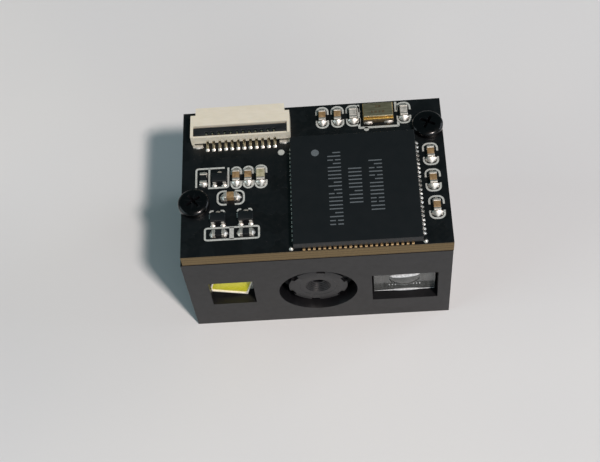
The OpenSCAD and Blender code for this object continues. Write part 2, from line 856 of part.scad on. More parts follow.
// pins that carry the lamp board under the decoder board
module lamp_pins() {
  y = wall_y + lamp_board_t;
  color("#d0b870") for (side = [-1, 1])
    translate([lamp_board_x + side * pin_spacing / 2, 0, 0])
      span([-pin_side / 2, y, axis_h + lamp_board_h / 2 - 1], [pin_side / 2, y + pin_side, board_z]);
}

// clear lens: a block in the window, a domed middle and a flange behind the wall
module aiming_lens() {
  ball = (aim_dome_r * aim_dome_r + aim_dome_h * aim_dome_h) / (2 * aim_dome_h);
  face_y = wall_y - aim_boss_l;
  color("#cfd6d8", 0.5) translate([aim_x, 0, aim_z]) union() {
    span([-aim_boss_w / 2, face_y, -aim_boss_h / 2], [aim_boss_w / 2, wall_y + 0.1, aim_boss_h / 2]);
    span([-aim_boss_w / 2, wall_y, -aim_flange_h / 2],
         [aim_boss_w / 2, wall_y + aim_flange_t, aim_flange_h / 2]);
    intersection() {
      translate([0, face_y - aim_dome_h + ball, 0]) sphere(r = ball);
      bar_y(0, face_y - aim_dome_h - 0.1, 0, aim_dome_h + 0.2, aim_dome_r);
    }
  }
}

module aiming_tunnel() {
  y = wall_y + aim_flange_t;
  color("#1c1c1e") translate([aim_x, 0, aim_z]) difference() {
    span([-tunnel_w / 2, y, -tunnel_h / 2], [tunnel_w / 2, sensor_y, tunnel_h / 2]);
    span([-tunnel_w / 2 + tunnel_wall, y - 1, -tunnel_h / 2 + tunnel_wall],
         [tunnel_w / 2 - tunnel_wall, sensor_y + 1, tunnel_h / 2 - tunnel_wall]);
  }
}

module aiming_led() {
  color("#dfe3dc") translate([aim_x, sensor_y, aim_z]) union() {
    span([-0.8, -0.4, -0.4], [0.8, 0, 0.4]);
    span([-0.5, -0.7, -0.3], [0.5, -0.3, 0.3]);
  }
}

housing();
rear_cover();
cover_screws();
decoder_board();
board_screws();
processor();
processor_leads();
connector_housing();
connector_contacts();
connector_tabs();
connector_lock();
crystal_base();
crystal_ring();
crystal_lid();
capacitor_bodies();
capacitor_ends();
large_capacitor();
large_capacitor_ends();
bead_bodies();
bead_ends();
resistor_bodies();
resistor_ends();
transistor_bodies();
transistor_leads();
memory_chip();
memory_pads();
regulator();
regulator_leads();
underside_capacitors();
underside_capacitor_ends();
lens_barrel();
lens_retainer();
front_lens();
lens_spacer();
rear_lens();
lens_holder();
sensor_screws();
ir_filter();
image_sensor();
sensor_cover_glass();
sensor_board();
sensor_socket();
sensor_flex();
board_socket();
lamp_board();
lamp_package();
lamp_phosphor();
lamp_pins();
aiming_lens();
aiming_tunnel();
aiming_led();
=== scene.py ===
import math
import random
import bmesh
import bpy
from mathutils import Matrix, Vector


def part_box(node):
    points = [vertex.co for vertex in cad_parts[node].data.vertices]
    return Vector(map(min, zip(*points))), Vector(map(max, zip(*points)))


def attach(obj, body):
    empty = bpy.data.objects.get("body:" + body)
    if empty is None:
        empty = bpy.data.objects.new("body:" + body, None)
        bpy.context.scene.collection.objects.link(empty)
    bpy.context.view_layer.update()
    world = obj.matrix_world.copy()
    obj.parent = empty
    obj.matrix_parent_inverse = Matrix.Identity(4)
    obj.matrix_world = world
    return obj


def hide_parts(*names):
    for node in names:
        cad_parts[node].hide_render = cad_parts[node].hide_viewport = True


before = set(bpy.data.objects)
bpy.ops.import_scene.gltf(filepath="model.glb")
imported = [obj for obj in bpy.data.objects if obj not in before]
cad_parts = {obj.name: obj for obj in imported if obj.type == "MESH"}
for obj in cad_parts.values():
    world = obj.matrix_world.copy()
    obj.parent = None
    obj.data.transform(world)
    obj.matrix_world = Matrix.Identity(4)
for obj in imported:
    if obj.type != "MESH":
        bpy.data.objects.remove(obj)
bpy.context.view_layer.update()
mm = 0.001
print("frame loaded")


# ---- helpers: colour, nodes, meshes

def fromHex(code):
    # sRGB hex to the linear values that the shaders take
    parts = [int(code[i:i + 2], 16) / 255 for i in (1, 3, 5)]
    return tuple(c / 12.92 if c <= 0.04045 else ((c + 0.055) / 1.055) ** 2.4 for c in parts) + (1.0,)


def addNode(tree, kind, settings=None, inputs=None):
    # inputs hold plain values, or sockets to link from
    node = tree.nodes.new(kind)
    for key, value in (settings or {}).items():
        setattr(node, key, value)
    for key, value in (inputs or {}).items():
        if isinstance(value, bpy.types.NodeSocket):
            tree.links.new(value, node.inputs[key])
        else:
            node.inputs[key].default_value = value
    return node


def newMaterial(name, colour, roughness, metallic=0.0, **sockets):
    material = bpy.data.materials.new(name)
    material.use_nodes = True
    tree = material.node_tree
    shader = tree.nodes["Principled BSDF"]
    shader.inputs["Base Color"].default_value = fromHex(colour)
    shader.inputs["Roughness"].default_value = roughness
    shader.inputs["Metallic"].default_value = metallic
    for key, value in sockets.items():
        shader.inputs[key.replace("_", " ")].default_value = value
    material.diffuse_color = fromHex(colour)
    place = addNode(tree, "ShaderNodeTexCoord").outputs["Object"]
    return material, tree, shader, place


def grain(tree, place, size, detail=3.0, stretch=(1, 1, 1)):
    # noise whose blotches are about size millimetres wide
    turned = addNode(tree, "ShaderNodeMapping", inputs={"Vector": place, "Scale": stretch})
    return addNode(tree, "ShaderNodeTexNoise", inputs={
        "Vector": turned.outputs["Vector"], "Scale": 1 / (size * mm), "Detail": detail}).outputs["Fac"]


def ramp(tree, factor, low, high, lowAt=0.35, highAt=0.65):
    node = addNode(tree, "ShaderNodeValToRGB", inputs={"Fac": factor})
    for element, at, colour in zip(node.color_ramp.elements, (lowAt, highAt), (low, high)):
        element.position = at
        element.color = fromHex(colour)
    return node.outputs["Color"]


def spread(tree, factor, low, high):
    # factor 0..1 to a value between low and high
    return addNode(tree, "ShaderNodeMapRange", inputs={
        "Value": factor, "From Min": 0.3, "From Max": 0.7, "To Min": low, "To Max": high}).outputs["Result"]


def relief(tree, shader, height, depth, strength=1.0):
    # depth in millimetres
    bump = addNode(tree, "ShaderNodeBump",
                   inputs={"Height": height, "Distance": depth * mm, "Strength": strength})
    tree.links.new(bump.outputs["Normal"], shader.inputs["Normal"])


def boxOf(node):
    # a CAD node's low and high corners, in millimetres
    return [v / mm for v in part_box(node)]


def makeObject(name, mesh):
    piece = bpy.data.objects.new(name, mesh)
    bpy.context.scene.collection.objects.link(piece)
    return piece


def meshFrom(name, points, faces, material, smooth=True, scale=mm):
    mesh = bpy.data.meshes.new(name)
    mesh.from_pydata([Vector(p) * scale for p in points], [], faces)
    mesh.validate()
    if material:
        mesh.materials.append(material)
    if smooth:
        mesh.shade_smooth()
    return mesh


def finished(piece, body, slotName, *nodes):
    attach(piece, body)
    if nodes:
        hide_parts(*nodes)
    return piece


def applied(piece, name=None):
    # bakes the modifiers into a plain mesh
    graph = bpy.context.evaluated_depsgraph_get()
    mesh = bpy.data.meshes.new_from_object(piece.evaluated_get(graph))
    piece.modifiers.clear()
    old = piece.data
    piece.data = mesh
    if old.users == 0:
        bpy.data.meshes.remove(old)
    if name:
        piece.name = name
        mesh.name = name
    return piece


def joined(name, pieces):
    # several finished meshes as one piece
    whole = bmesh.new()
    materials = []
    for piece in pieces:
        mesh = piece.data
        shift = []
        for material in mesh.materials:
            if material not in materials:
                materials.append(material)
            shift.append(materials.index(material))
        start = len(whole.faces)
        whole.from_mesh(mesh)
        whole.faces.ensure_lookup_table()
        for face in whole.faces[start:]:
            face.material_index = shift[face.material_index] if shift else 0
        bpy.data.objects.remove(piece)
    mesh = bpy.data.meshes.new(name)
    whole.to_mesh(mesh)
    whole.free()
    for material in materials:
        mesh.materials.append(material)
    return makeObject(name, mesh)


def softEdges(piece, width, segments=2, angle=32):
    bevel = piece.modifiers.new("bevel", "BEVEL")
    bevel.width = width * mm
    bevel.segments = segments
    bevel.limit_method = "ANGLE"
    bevel.angle_limit = math.radians(angle)
    bevel.harden_normals = True
    bevel.use_clamp_overlap = True
    level = piece.modifiers.new("level", "WEIGHTED_NORMAL")
    level.keep_sharp = True
    level.weight = 100
    return applied(piece)


def refined(node, name, material, slotName, width=0.04, segments=2, body="root"):
    # copy of a CAD node with its edges rounded, which stands for the node
    work = bmesh.new()
    work.from_mesh(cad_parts[node].data)
    bmesh.ops.remove_doubles(work, verts=work.verts, dist=0.0004 * mm)
    bmesh.ops.dissolve_limit(work, angle_limit=math.radians(1.0), verts=work.verts, edges=work.edges)
    mesh = bpy.data.meshes.new(name)
    work.to_mesh(mesh)
    work.free()
    mesh.materials.clear()
    mesh.materials.append(material)
    mesh.shade_smooth()
    piece = makeObject(name, mesh)
    if width:
        softEdges(piece, width, segments)
    else:
        mesh.set_sharp_from_angle(angle=math.radians(32))
    return finished(piece, body, slotName, node)


def lathe(name, profile, material, segments=96, closed=True):
    # profile is a list of (radius, height) turned about Z
    points, faces = [], []
    rows = len(profile)
    for i in range(segments):
        a = 2 * math.pi * i / segments
        points += [(r * math.cos(a), r * math.sin(a), h) for r, h in profile]
    last = rows if closed else rows - 1
    for i in range(segments):
        j = (i + 1) % segments
        for k in range(last):
            n = (k + 1) % rows
            faces.append((i * rows + k, j * rows + k, j * rows + n, i * rows + n))
    mesh = meshFrom(name, points, faces, material)
    tidied(mesh)
    return mesh


def tidied(mesh, sharp=32):
    # poles merged, faces turned outwards, hard edges kept
    work = bmesh.new()
    work.from_mesh(mesh)
    bmesh.ops.remove_doubles(work, verts=work.verts, dist=0.0005 * mm)
    bmesh.ops.dissolve_degenerate(work, dist=0.0002 * mm, edges=work.edges)
    bmesh.ops.recalc_face_normals(work, faces=work.faces)
    work.to_mesh(mesh)
    work.free()
    mesh.shade_smooth()
    mesh.set_sharp_from_angle(angle=math.radians(sharp))


def heap(across, along, height, nu=10, nv=8):
    # closed mound: height(u, v) over u -1..1 and v 0..1, base at zero.
    # across(u, v) and along(u, v) give the plan
    points, faces = [], []
    for level in (1, 0):
        for j in range(nv + 1):
            for i in range(nu + 1):
                u, v = 2 * i / nu - 1, j / nv
                points.append((across(u, v), along(u, v), level * height(u, v)))
    row = nu + 1
    under = row * (nv + 1)
    for j in range(nv):
        for i in range(nu):
            a = j * row + i
            faces.append((a, a + 1, a + row + 1, a + row))
            faces.append((under + a, under + a + row, under + a + row + 1, under + a + 1))
    rim = [i for i in range(row)]
    rim += [j * row + nu for j in range(1, nv + 1)]
    rim += [nv * row + i for i in range(nu - 1, -1, -1)]
    rim += [j * row for j in range(nv - 1, 0, -1)]
    for a, b in zip(rim, rim[1:] + rim[:1]):
        faces.append((a, under + a, under + b, b))
    return points, faces


class Collector:
    # gathers many small closed shapes into one piece
    def __init__(self, name):
        self.name = name
        self.points = []
        self.faces = []

    def add(self, points, faces, place=Matrix.Identity(4)):
        start = len(self.points)
        self.points += [place @ Vector(p) for p in points]
        self.faces += [tuple(start + i for i in face) for face in faces]

    def build(self, material, slotName, bevel=0.0, body="root", sharp=32):
        mesh = meshFrom(self.name, self.points, self.faces, material)
        tidied(mesh, sharp)
        piece = makeObject(self.name, mesh)
        if bevel:
            softEdges(piece, bevel)
        return finished(piece, body, slotName)


def blockShape(low, high):
    x0, y0, z0 = low
    x1, y1, z1 = high
    points = [(x, y, z) for z in (z0, z1) for y in (y0, y1) for x in (x0, x1)]
    faces = [(0, 2, 3, 1), (4, 5, 7, 6), (0, 1, 5, 4), (1, 3, 7, 5), (3, 2, 6, 7), (2, 0, 4, 6)]
    return points, faces


def discShape(radius, low, high, segments=32):
    ring = [(radius * math.cos(2 * math.pi * i / segments), radius * math.sin(2 * math.pi * i / segments))
            for i in range(segments)]
    points = [(x, y, low) for x, y in ring] + [(x, y, high) for x, y in ring]
    faces = [tuple(reversed(range(segments))), tuple(range(segments, 2 * segments))]
    faces += [(i, (i + 1) % segments, segments + (i + 1) % segments, segments + i) for i in range(segments)]
    return points, faces


def lain(x, y, z):
    # what was drawn on Z points back along Y, in metres
    return Matrix.Translation(Vector((x, y, z)) * mm) @ Matrix.Rotation(math.radians(-90), 4, "X")


def at(x, y, z, turn=0.0):
    return Matrix.Translation((x, y, z)) @ Matrix.Rotation(math.radians(turn), 4, "Z")


# ---- materials

def grained(name, colour, roughness, metallic=0.0, tones=None, roughs=None, bump=None, **sockets):
    # a material whose colour, roughness and relief may each follow a grain.
    # tones: grain, low, high; roughs: grain, low, high; bump: grain, depth, strength.
    # a grain is its size in millimetres, or a tuple with its detail and stretch after that
    material, tree, shader, place = newMaterial(name, colour, roughness, metallic, **sockets)

    def fac(size):
        return grain(tree, place, *(size if isinstance(size, tuple) else (size,)))

    if tones:
        tree.links.new(ramp(tree, fac(tones[0]), *tones[1:]), shader.inputs["Base Color"])
    if roughs:
        tree.links.new(spread(tree, fac(roughs[0]), *roughs[1:]), shader.inputs["Roughness"])
    if bump:
        relief(tree, shader, fac(bump[0]), *bump[1:])
    return material


def waxy(material, radius):
    # light travels a little way under the surface
    shader = material.node_tree.nodes["Principled BSDF"]
    shader.inputs["Subsurface Radius"].default_value = radius
    shader.inputs["Subsurface Scale"].default_value = 1.0
    return material


def coated(material, tint):
    # the colour of the coating's reflex
    material.node_tree.nodes["Principled BSDF"].inputs["Specular Tint"].default_value = fromHex(tint)
    return material


def solderMask():
    # black solder mask over copper: satin lacquer, copper areas stand up a little
    mat, t, s, p = newMaterial("blackSolderMask", "#0a0d0f", 0.3, IOR=1.5)
    cells = addNode(t, "ShaderNodeTexVoronoi", {"distance": "MANHATTAN", "voronoi_dimensions": "2D"},
                    {"Vector": p, "Scale": 1 / (1.1 * mm), "Randomness": 0.8})
    level = addNode(t, "ShaderNodeSeparateColor", inputs={"Color": cells.outputs["Color"]}).outputs["Red"]
    copper = addNode(t, "ShaderNodeMath", {"operation": "GREATER_THAN"}, {0: level, 1: 0.45}).outputs["Value"]
    t.links.new(ramp(t, copper, "#07090c", "#0c0f12", 0.0, 1.0), s.inputs["Base Color"])
    t.links.new(spread(t, grain(t, p, 0.35), 0.3, 0.42), s.inputs["Roughness"])
    relief(t, s, copper, 0.012, 0.35)
    return mat


def boardEdge():
    # FR4 edge: routed glass fibre and resin, dull, with lighter cloth layers
    mat, t, s, p = newMaterial("routedGlassEpoxy", "#8f7c58", 0.75, IOR=1.5)
    layers = addNode(t, "ShaderNodeTexWave", {"bands_direction": "Z"},
                     {"Vector": p, "Scale": 1 / (1.05 * mm), "Distortion": 0.6, "Detail": 2.0,
                      "Detail Scale": 3.0}).outputs["Fac"]
    fibre = grain(t, p, 0.12, 4.0, (1, 1, 3))
    mixed = addNode(t, "ShaderNodeMath", {"operation": "MULTIPLY_ADD"},
                    {0: fibre, 1: 0.7, 2: -0.1}).outputs["Value"]
    both = addNode(t, "ShaderNodeMath", {"operation": "MULTIPLY_ADD"},
                   {0: layers, 1: 0.16, 2: mixed}).outputs["Value"]
    t.links.new(ramp(t, both, "#57462b", "#8e794e", 0.2, 0.75), s.inputs["Base Color"])
    relief(t, s, both, 0.012, 0.6)
    return mat


def kovarLid():
    # kovar lid, rolled and nickel plated: olive grey with fine rolling lines
    mat, t, s, p = newMaterial("rolledKovarLid", "#a29c82", 0.46, 0.85)
    lines = grain(t, p, 0.12, 3.0, (0.15, 1, 1))
    t.links.new(ramp(t, lines, "#979178", "#ada78d"), s.inputs["Base Color"])
    t.links.new(spread(t, lines, 0.34, 0.46), s.inputs["Roughness"])
    return mat


def oxideSteel():
    # black oxide steel screws: oily black, a little lighter on sharp edges, found by pointiness
    mat, t, s, p = newMaterial("blackOxideSteel", "#060608", 0.2, 0.3)
    edge = addNode(t, "ShaderNodeNewGeometry").outputs["Pointiness"]
    sharpEdgeMask = addNode(t, "ShaderNodeMapRange", inputs={
        "Value": edge, "From Min": 0.53, "From Max": 0.62, "To Min": 0.0, "To Max": 1.0}).outputs["Result"]
    t.links.new(ramp(t, sharpEdgeMask, "#050507", "#141417", 0.0, 1.0), s.inputs["Base Color"])
    t.links.new(spread(t, grain(t, p, 0.25), 0.18, 0.28), s.inputs["Roughness"])
    relief(t, s, grain(t, p, 0.12), 0.004, 0.4)
    return mat


def milkyPlastic():
    # moulded polycarbonate of the aiming lens: slightly milky, with upright flow lines
    mat, t, s, p = newMaterial("milkyPolycarbonate", "#7a7d7c", 0.12, IOR=1.585, Transmission_Weight=0.6)
    flow = grain(t, p, 0.12, 4.0, (1, 1, 0.08))
    t.links.new(ramp(t, flow, "#666968", "#8c8f8e", 0.3, 0.7), s.inputs["Base Color"])
    t.links.new(spread(t, flow, 0.08, 0.18), s.inputs["Roughness"])
    relief(t, s, flow, 0.01, 0.5)
    return mat


mats = {
    # near black, its fine even texture takes on the grey of what it mirrors;
    # the texture is drawn twice as coarse as real
    "abs": grained("mouldedBlackAbs", "#0e0e11", 0.42, IOR=1.47, tones=(1.6, "#0c0c0f", "#111114"),
                   roughs=(0.5, 0.39, 0.45), bump=((0.09, 2.0), 0.004, 0.4)),
    "mask": solderMask(),
    "fr4": boardEdge(),
    # white epoxy ink, screen printed: flat and slightly uneven
    "ink": grained("screenPrintedInk", "#b4b9b6", 0.6, tones=(0.12, "#a3a9a6", "#c2c6c3"),
                   bump=(0.06, 0.004, 0.5)),
    # dark blue grey, dull, glass filler specks
    "epoxy": grained("mouldedChipEpoxy", "#0b0f13", 0.46, IOR=1.5, tones=((0.05, 2.0), "#090d11", "#0d1216"),
                     roughs=(0.8, 0.44, 0.48), bump=((0.05, 2.0), 0.002, 0.4)),
    # paler and rougher than its surround
    "laser": grained("laserEngraving", "#596166", 0.8, tones=(0.05, "#4b5358", "#676f74")),
    # bright, slightly frosted metal
    "solder": grained("reflowedSolder", "#e9e5de", 0.42, 1.0, roughs=(0.12, 0.36, 0.5),
                      bump=(0.2, 0.006, 0.4)),
    # matte tin on chip ends, legs and tabs
    "tin": grained("matteTinPlating", "#dedad2", 0.55, 1.0, tones=(0.1, "#cfcbc2", "#e9e6e0"),
                   bump=(0.05, 0.005, 0.6)),
    # flash gold over nickel on the chip's lead ends
    "gold": grained("flashGold", "#dcbb8a", 0.38, 1.0, tones=(0.15, "#c39c68", "#ebcfa2")),
    # polished gold ring of the crystal's case
    "ring": grained("brightGoldRing", "#f8cd74", 0.36, 1.0, roughs=(0.2, 0.28, 0.38)),
    "lid": kovarLid(),
    # glass filled nylon: waxy, faint flow marks
    "ivory": waxy(grained("ivoryNylon", "#dfd9c8", 0.42, IOR=1.53, Subsurface_Weight=0.1,
                          tones=((0.7, 3.0, (1, 3, 1)), "#ddd7c6", "#e2dccc"), bump=(0.1, 0.004, 0.5)),
                  (0.0004, 0.0003, 0.0002)),
    # liquid crystal polymer of the connector's lock: grey flow streaks
    "lock": grained("blackCrystalPolymer", "#1b1c1f", 0.36, IOR=1.6,
                    tones=((0.35, 4.0, (0.5, 3, 3)), "#131417", "#26272a"), bump=(0.1, 0.005, 0.5)),
    # tinned phosphor bronze contacts, warm silver
    "contact": grained("tinnedBronze", "#d8cdb2", 0.3, 1.0, tones=(0.12, "#c2b28e", "#e2dccb")),
    # fired capacitor ceramic: brown, satin, faint mottling
    "brown": grained("firedBrownCeramic", "#8d7350", 0.42, IOR=1.7, tones=(0.25, "#7b6040", "#9f855f"),
                     bump=(0.06, 0.004, 0.6)),
    # pale olive ceramic of the larger capacitor
    "pale": grained("firedPaleCeramic", "#a5a083", 0.4, IOR=1.7, tones=(0.25, "#969172", "#b5b096"),
                    bump=(0.06, 0.004, 0.6)),
    # sintered beads with a grey glaze
    "ferrite": grained("glazedFerrite", "#a9a8a2", 0.4, IOR=1.6, tones=(0.2, "#94938e", "#bab9b3")),
    # glossy lacquer on white alumina
    "overcoat": grained("resistorOvercoat", "#17181b", 0.28, IOR=1.5, tones=(0.1, "#131417", "#1e2023")),
    # base of the crystal, and its markings
    "alumina": grained("darkAlumina", "#4b402c", 0.55, IOR=1.7, tones=(0.1, "#40361f", "#5a4d37")),
    "oxide": oxideSteel(),
    # bright plated steel, gloss varies in patches
    "zinc": grained("zincPlatedSteel", "#b9bcc0", 0.3, 1.0, roughs=(0.2, 0.24, 0.4)),
    # turned barrel: fine grooves catch the light in rings
    "anodised": grained("anodisedBlackAluminium", "#121215", 0.4, IOR=1.55, tones=(0.3, "#0f0f12", "#16161a"),
                        roughs=(0.1, 0.38, 0.5)),
    # dull black inside the optics
    "inner": grained("mattBlackNylon", "#141416", 0.7, tones=(0.3, "#101012", "#19191b")),
    # clear glass with a violet blue reflex
    "glass": coated(grained("coatedLensGlass", "#f2f4ff", 0.03, IOR=1.6, Transmission_Weight=1.0,
                            roughs=(1.0, 0.02, 0.04)), "#a9b4ff"),
    # filter glass with a pink reflex
    "filter": coated(grained("infraredCutGlass", "#d9ece8", 0.02, IOR=1.52, Transmission_Weight=1.0,
                             roughs=(1.0, 0.02, 0.04)), "#ff9aa8"),
    "clear": milkyPlastic(),
    # the same plastic made nearly white and glossy: painted highlight for the aiming lens's glints
    "paintedGlintWhite": grained("paintedHighlightPolycarbonate", "#e6eaee", 0.16, IOR=1.585, Transmission_Weight=0.15,
                       tones=((0.15, 3.0), "#c4c9cd", "#f2f5f8"), bump=(0.2, 0.02, 0.6)),
    # white reflector nylon of the lamp
    "lampFrame": waxy(grained("reflectorNylon", "#efe9d6", 0.4, IOR=1.53, Subsurface_Weight=0.2,
                              tones=(0.3, "#e9e1c8", "#f5f0e2")), (0.0003, 0.0003, 0.0002)),
    # phosphor in silicone: saturated yellow, grainy under a soft gloss
    "phosphor": grained("phosphorSilicone", "#d6d12c", 0.4, IOR=1.41, Coat_Weight=0.4, Coat_Roughness=0.15,
                        tones=((0.07, 4.0), "#c8c21c", "#e0db3a"), bump=(0.12, 0.01, 0.5)),
    # solder masks: tinted lacquer with slow cloudy changes
    "green": grained("greenSolderMask", "#1d4a30", 0.35, tones=(1.0, "#19422a", "#225639")),
    "white": grained("whiteSolderMask", "#e2e2db", 0.4, tones=(1.0, "#d9d9d0", "#eaeae4")),
    # warm see-through looking film, smooth
    "amber": grained("amberPolyimide", "#b06f1e", 0.3, IOR=1.7, tones=(0.6, "#a3641a", "#bd7b26")),
    # dark green grey of the image sensor
    "sensor": grained("siliconPackage", "#3a4640", 0.4, tones=(0.5, "#333e39", "#424f49")),
}
print("materials made")

# the planes and edges that every piece is placed by, in millimetres
boardLow, boardHigh = boxOf("decoder_board")
topZ = boardHigh.z
left, right, front, rear = boardLow.x, boardHigh.x, boardLow.y, boardHigh.y


# ---- housing and boards

housingLook = {"edge": 0.07, "coverEdge": 0.07}


def makeHousing():
    refined("housing", "housingShell", mats["abs"], "housing_plastic", housingLook["edge"], 3)
    refined("rear_cover", "rearCover", mats["abs"], "housing_plastic", housingLook["coverEdge"], 3)


def makeDecoderBoard():
    board = refined("decoder_board", "decoderBoard", mats["mask"], "board_mask", 0.03, 2)
    board.data.materials.append(mats["fr4"])
    for face in board.data.polygons:
        face.material_index = 0 if abs(face.normal.z) > 0.4 else 1
    # covers of plated holes, barely proud of the mask
    vias = Collector("tentedVias")
    spots = [(7.70, 6.30), (7.00, 8.80), (6.9, 4.1), (7.6, 2.6), (6.7, 1.2), (0.9, 9.3),
             (7.9, 7.6), (1.0, 2.2), (9.9, 11.4), (10.2, 12.9), (20.5, 9.6), (19.6, 0.9),
             (20.6, 1.6), (5.6, 8.9), (3.1, 9.2)]
    for x, y in spots:
        vias.add(*discShape(0.16, 0, 0.012, 20), at(left + x, front + y, topZ))
    vias.build(mats["mask"], "board_mask", 0.005)


def panHead(radius, height, recess, turn):
    # domed head on Z, its seat at zero, with a cross recess cut in
    crown = 0.45 * height
    profile = [(0.0, 0.0), (radius - 0.05, 0.0), (radius, 0.05)]
    steps = 10
    for i in range(steps + 1):
        a = math.pi / 2 * i / steps
        profile.append((radius - 0.42 * radius * (1 - math.cos(a)),
                        height - crown + crown * math.sin(a) * 0.9))
    profile.append((0.0, height))
    head = makeObject("head", lathe("head", profile, None, 72, closed=False))
    cross = bmesh.new()
    for side in (0, 90):
        # each wing narrows towards the bottom
        wide, thin, deep = recess, 0.2 * radius, 0.78 * height
        shape = [(-wide, -thin / 2, height + 0.2), (wide, -thin / 2, height + 0.2),
                 (wide, thin / 2, height + 0.2), (-wide, thin / 2, height + 0.2),
                 (-wide * 0.45, -thin * 0.35, height - deep), (wide * 0.45, -thin * 0.35, height - deep),
                 (wide * 0.45, thin * 0.35, height - deep), (-wide * 0.45, thin * 0.35, height - deep)]
        spin = Matrix.Rotation(math.radians(side + turn), 3, "Z")
        verts = [cross.verts.new(spin @ Vector(p) * mm) for p in shape]
        for f in ((0, 1, 2, 3), (7, 6, 5, 4), (0, 4, 5, 1), (1, 5, 6, 2), (2, 6, 7, 3), (3, 7, 4, 0)):
            cross.faces.new([verts[i] for i in f])
    bmesh.ops.recalc_face_normals(cross, faces=cross.faces)
    mesh = bpy.data.meshes.new("cross")
    cross.to_mesh(mesh)
    cross.free()
    cutter = makeObject("cross", mesh)
    cut = head.modifiers.new("cut", "BOOLEAN")
    cut.operation = "DIFFERENCE"
    cut.solver = "EXACT"
    cut.use_self = True
    cut.object = cutter
    applied(head)
    bpy.data.objects.remove(cutter)
    softEdges(head, 0.035, 2, 38)
    return head


boardScrewLook = {"recess": 0.78, "turns": (35, 62), "shank": 0.6, "lying": False}
coverScrewLook = {"recess": 0.6, "turns": (20, 75), "shank": 0.5, "lying": True, "head": 0.5}


def looseParts(node):
    # the boxes of a node's separate solids, in millimetres
    work = bmesh.new()
    work.from_mesh(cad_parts[node].data)
    bmesh.ops.remove_doubles(work, verts=work.verts, dist=0.0004 * mm)
    seen, boxes = set(), []
    for vert in work.verts:
        if vert in seen:
            continue
        group, stack = [], [vert]
        seen.add(vert)
        while stack:
            v = stack.pop()
            group.append(v.co / mm)
            for edge in v.link_edges:
                other = edge.other_vert(v)
                if other not in seen:
                    seen.add(other)
                    stack.append(other)
        low = Vector([min(c[i] for c in group) for i in range(3)])
        high = Vector([max(c[i] for c in group) for i in range(3)])
        boxes.append((low, high))
    work.free()
    return boxes


def shankMesh(radius, low, high):
    # a plain shank with the crests of a thread
    pitch = 0.3
    profile = [(0.0, low)]
    z = low + 0.3
    profile.append((radius * 0.6, low + 0.02))
    while z < high:
        profile.append((radius, z))
        profile.append((radius * 0.84, min(z + pitch / 2, high)))
        z += pitch
    profile.append((radius * 0.84, high))
    profile.append((0.0, high))
    return lathe("shank", profile, None, 40, closed=False)


def makeScrews(node, name, slotName, look):
    # heads and shanks of one set, drawn upright on the origin and then laid in place
    pieces = []
    for (low, high), turn in zip(sorted(looseParts(node), key=lambda b: b[0].x), look["turns"]):
        centre = (low + high) / 2
        if look["lying"]:
            seat, tall = high.y - look["head"], look["head"]
            place = lain(centre.x, seat, centre.z)
            tip = low.y - high.y + tall
        else:
            tall, tip = high.z - topZ, low.z - topZ
            place = Matrix.Translation(Vector((centre.x, centre.y, topZ)) * mm)
        head = panHead((high.x - low.x) / 2, tall, look["recess"], turn)
        shank = makeObject("shank", shankMesh(look["shank"], tip, 0.02))
        for piece in (head, shank):
            piece.data.materials.clear()
            piece.data.materials.append(mats["oxide"])
            piece.data.transform(place)
            pieces.append(piece)
    finished(joined(name, pieces), "root", slotName, node)


makeHousing()
makeDecoderBoard()
makeScrews("board_screws", "boardScrews", "black_screw", boardScrewLook)
makeScrews("cover_screws", "coverScrews", "black_screw", coverScrewLook)
print("housing, board and screws made")


# ---- rows made by geometry nodes

def rowTree(name):
    # places copies of a mesh along X, joins them and gives them their material
    tree = bpy.data.node_groups.new(name, "GeometryNodeTree")
    face = tree.interface
    face.new_socket("Geometry", in_out="INPUT", socket_type="NodeSocketGeometry")
    for label, kind, value in (("Count", "NodeSocketInt", 12), ("Pitch", "NodeSocketFloat", 0.0005),
                               ("Start", "NodeSocketVector", None), ("Part", "NodeSocketObject", None),
                               ("Material", "NodeSocketMaterial", None)):
        socket = face.new_socket(label, in_out="INPUT", socket_type=kind)
        if value is not None:
            socket.default_value = value
    face.new_socket("Geometry", in_out="OUTPUT", socket_type="NodeSocketGeometry")
    given = addNode(tree, "NodeGroupInput").outputs
    step = addNode(tree, "ShaderNodeCombineXYZ", inputs={"X": given["Pitch"]})
    line = addNode(tree, "GeometryNodeMeshLine", {"mode": "OFFSET", "count_mode": "TOTAL"},
                   {"Count": given["Count"], "Start Location": given["Start"],
                    "Offset": step.outputs["Vector"]})
    part = addNode(tree, "GeometryNodeObjectInfo", {"transform_space": "ORIGINAL"}, {"Object": given["Part"]})
    copies = addNode(tree, "GeometryNodeInstanceOnPoints",
                     inputs={"Points": line.outputs["Mesh"], "Instance": part.outputs["Geometry"]})
    solid = addNode(tree, "GeometryNodeRealizeInstances", inputs={"Geometry": copies.outputs["Instances"]})
    painted = addNode(tree, "GeometryNodeSetMaterial",
                      inputs={"Geometry": solid.outputs["Geometry"], "Material": given["Material"]})
    addNode(tree, "NodeGroupOutput", inputs={"Geometry": painted.outputs["Geometry"]})
    return tree


rowOf = rowTree("rowOfParts")


def makeRow(name, part, count, pitch, start, material):
    # start, pitch in millimetres; the part is used up
    holder = makeObject(name, bpy.data.meshes.new(name))
    modifier = holder.modifiers.new("row", "NODES")
    modifier.node_group = rowOf
    values = {"Count": count, "Pitch": pitch * mm, "Start": tuple(v * mm for v in start), "Part": part,
              "Material": material}
    for item in rowOf.interface.items_tree:
        if item.in_out == "INPUT" and item.name in values:
            modifier[item.identifier] = values[item.name]
    applied(holder)
    bpy.data.objects.remove(part)
    return holder


# ---- processor

processorLook = {"edge": 0.05, "leads": 22, "pitch": 0.4, "leadWidth": 0.22, "leadHeight": 0.2,
                 "leadOut": 0.12, "leadIn": 0.3, "toe": 0.16}


def makeProcessor():
    body = refined("processor", "processorPackage", mats["epoxy"], "package_epoxy", processorLook["edge"], 3)
    return body


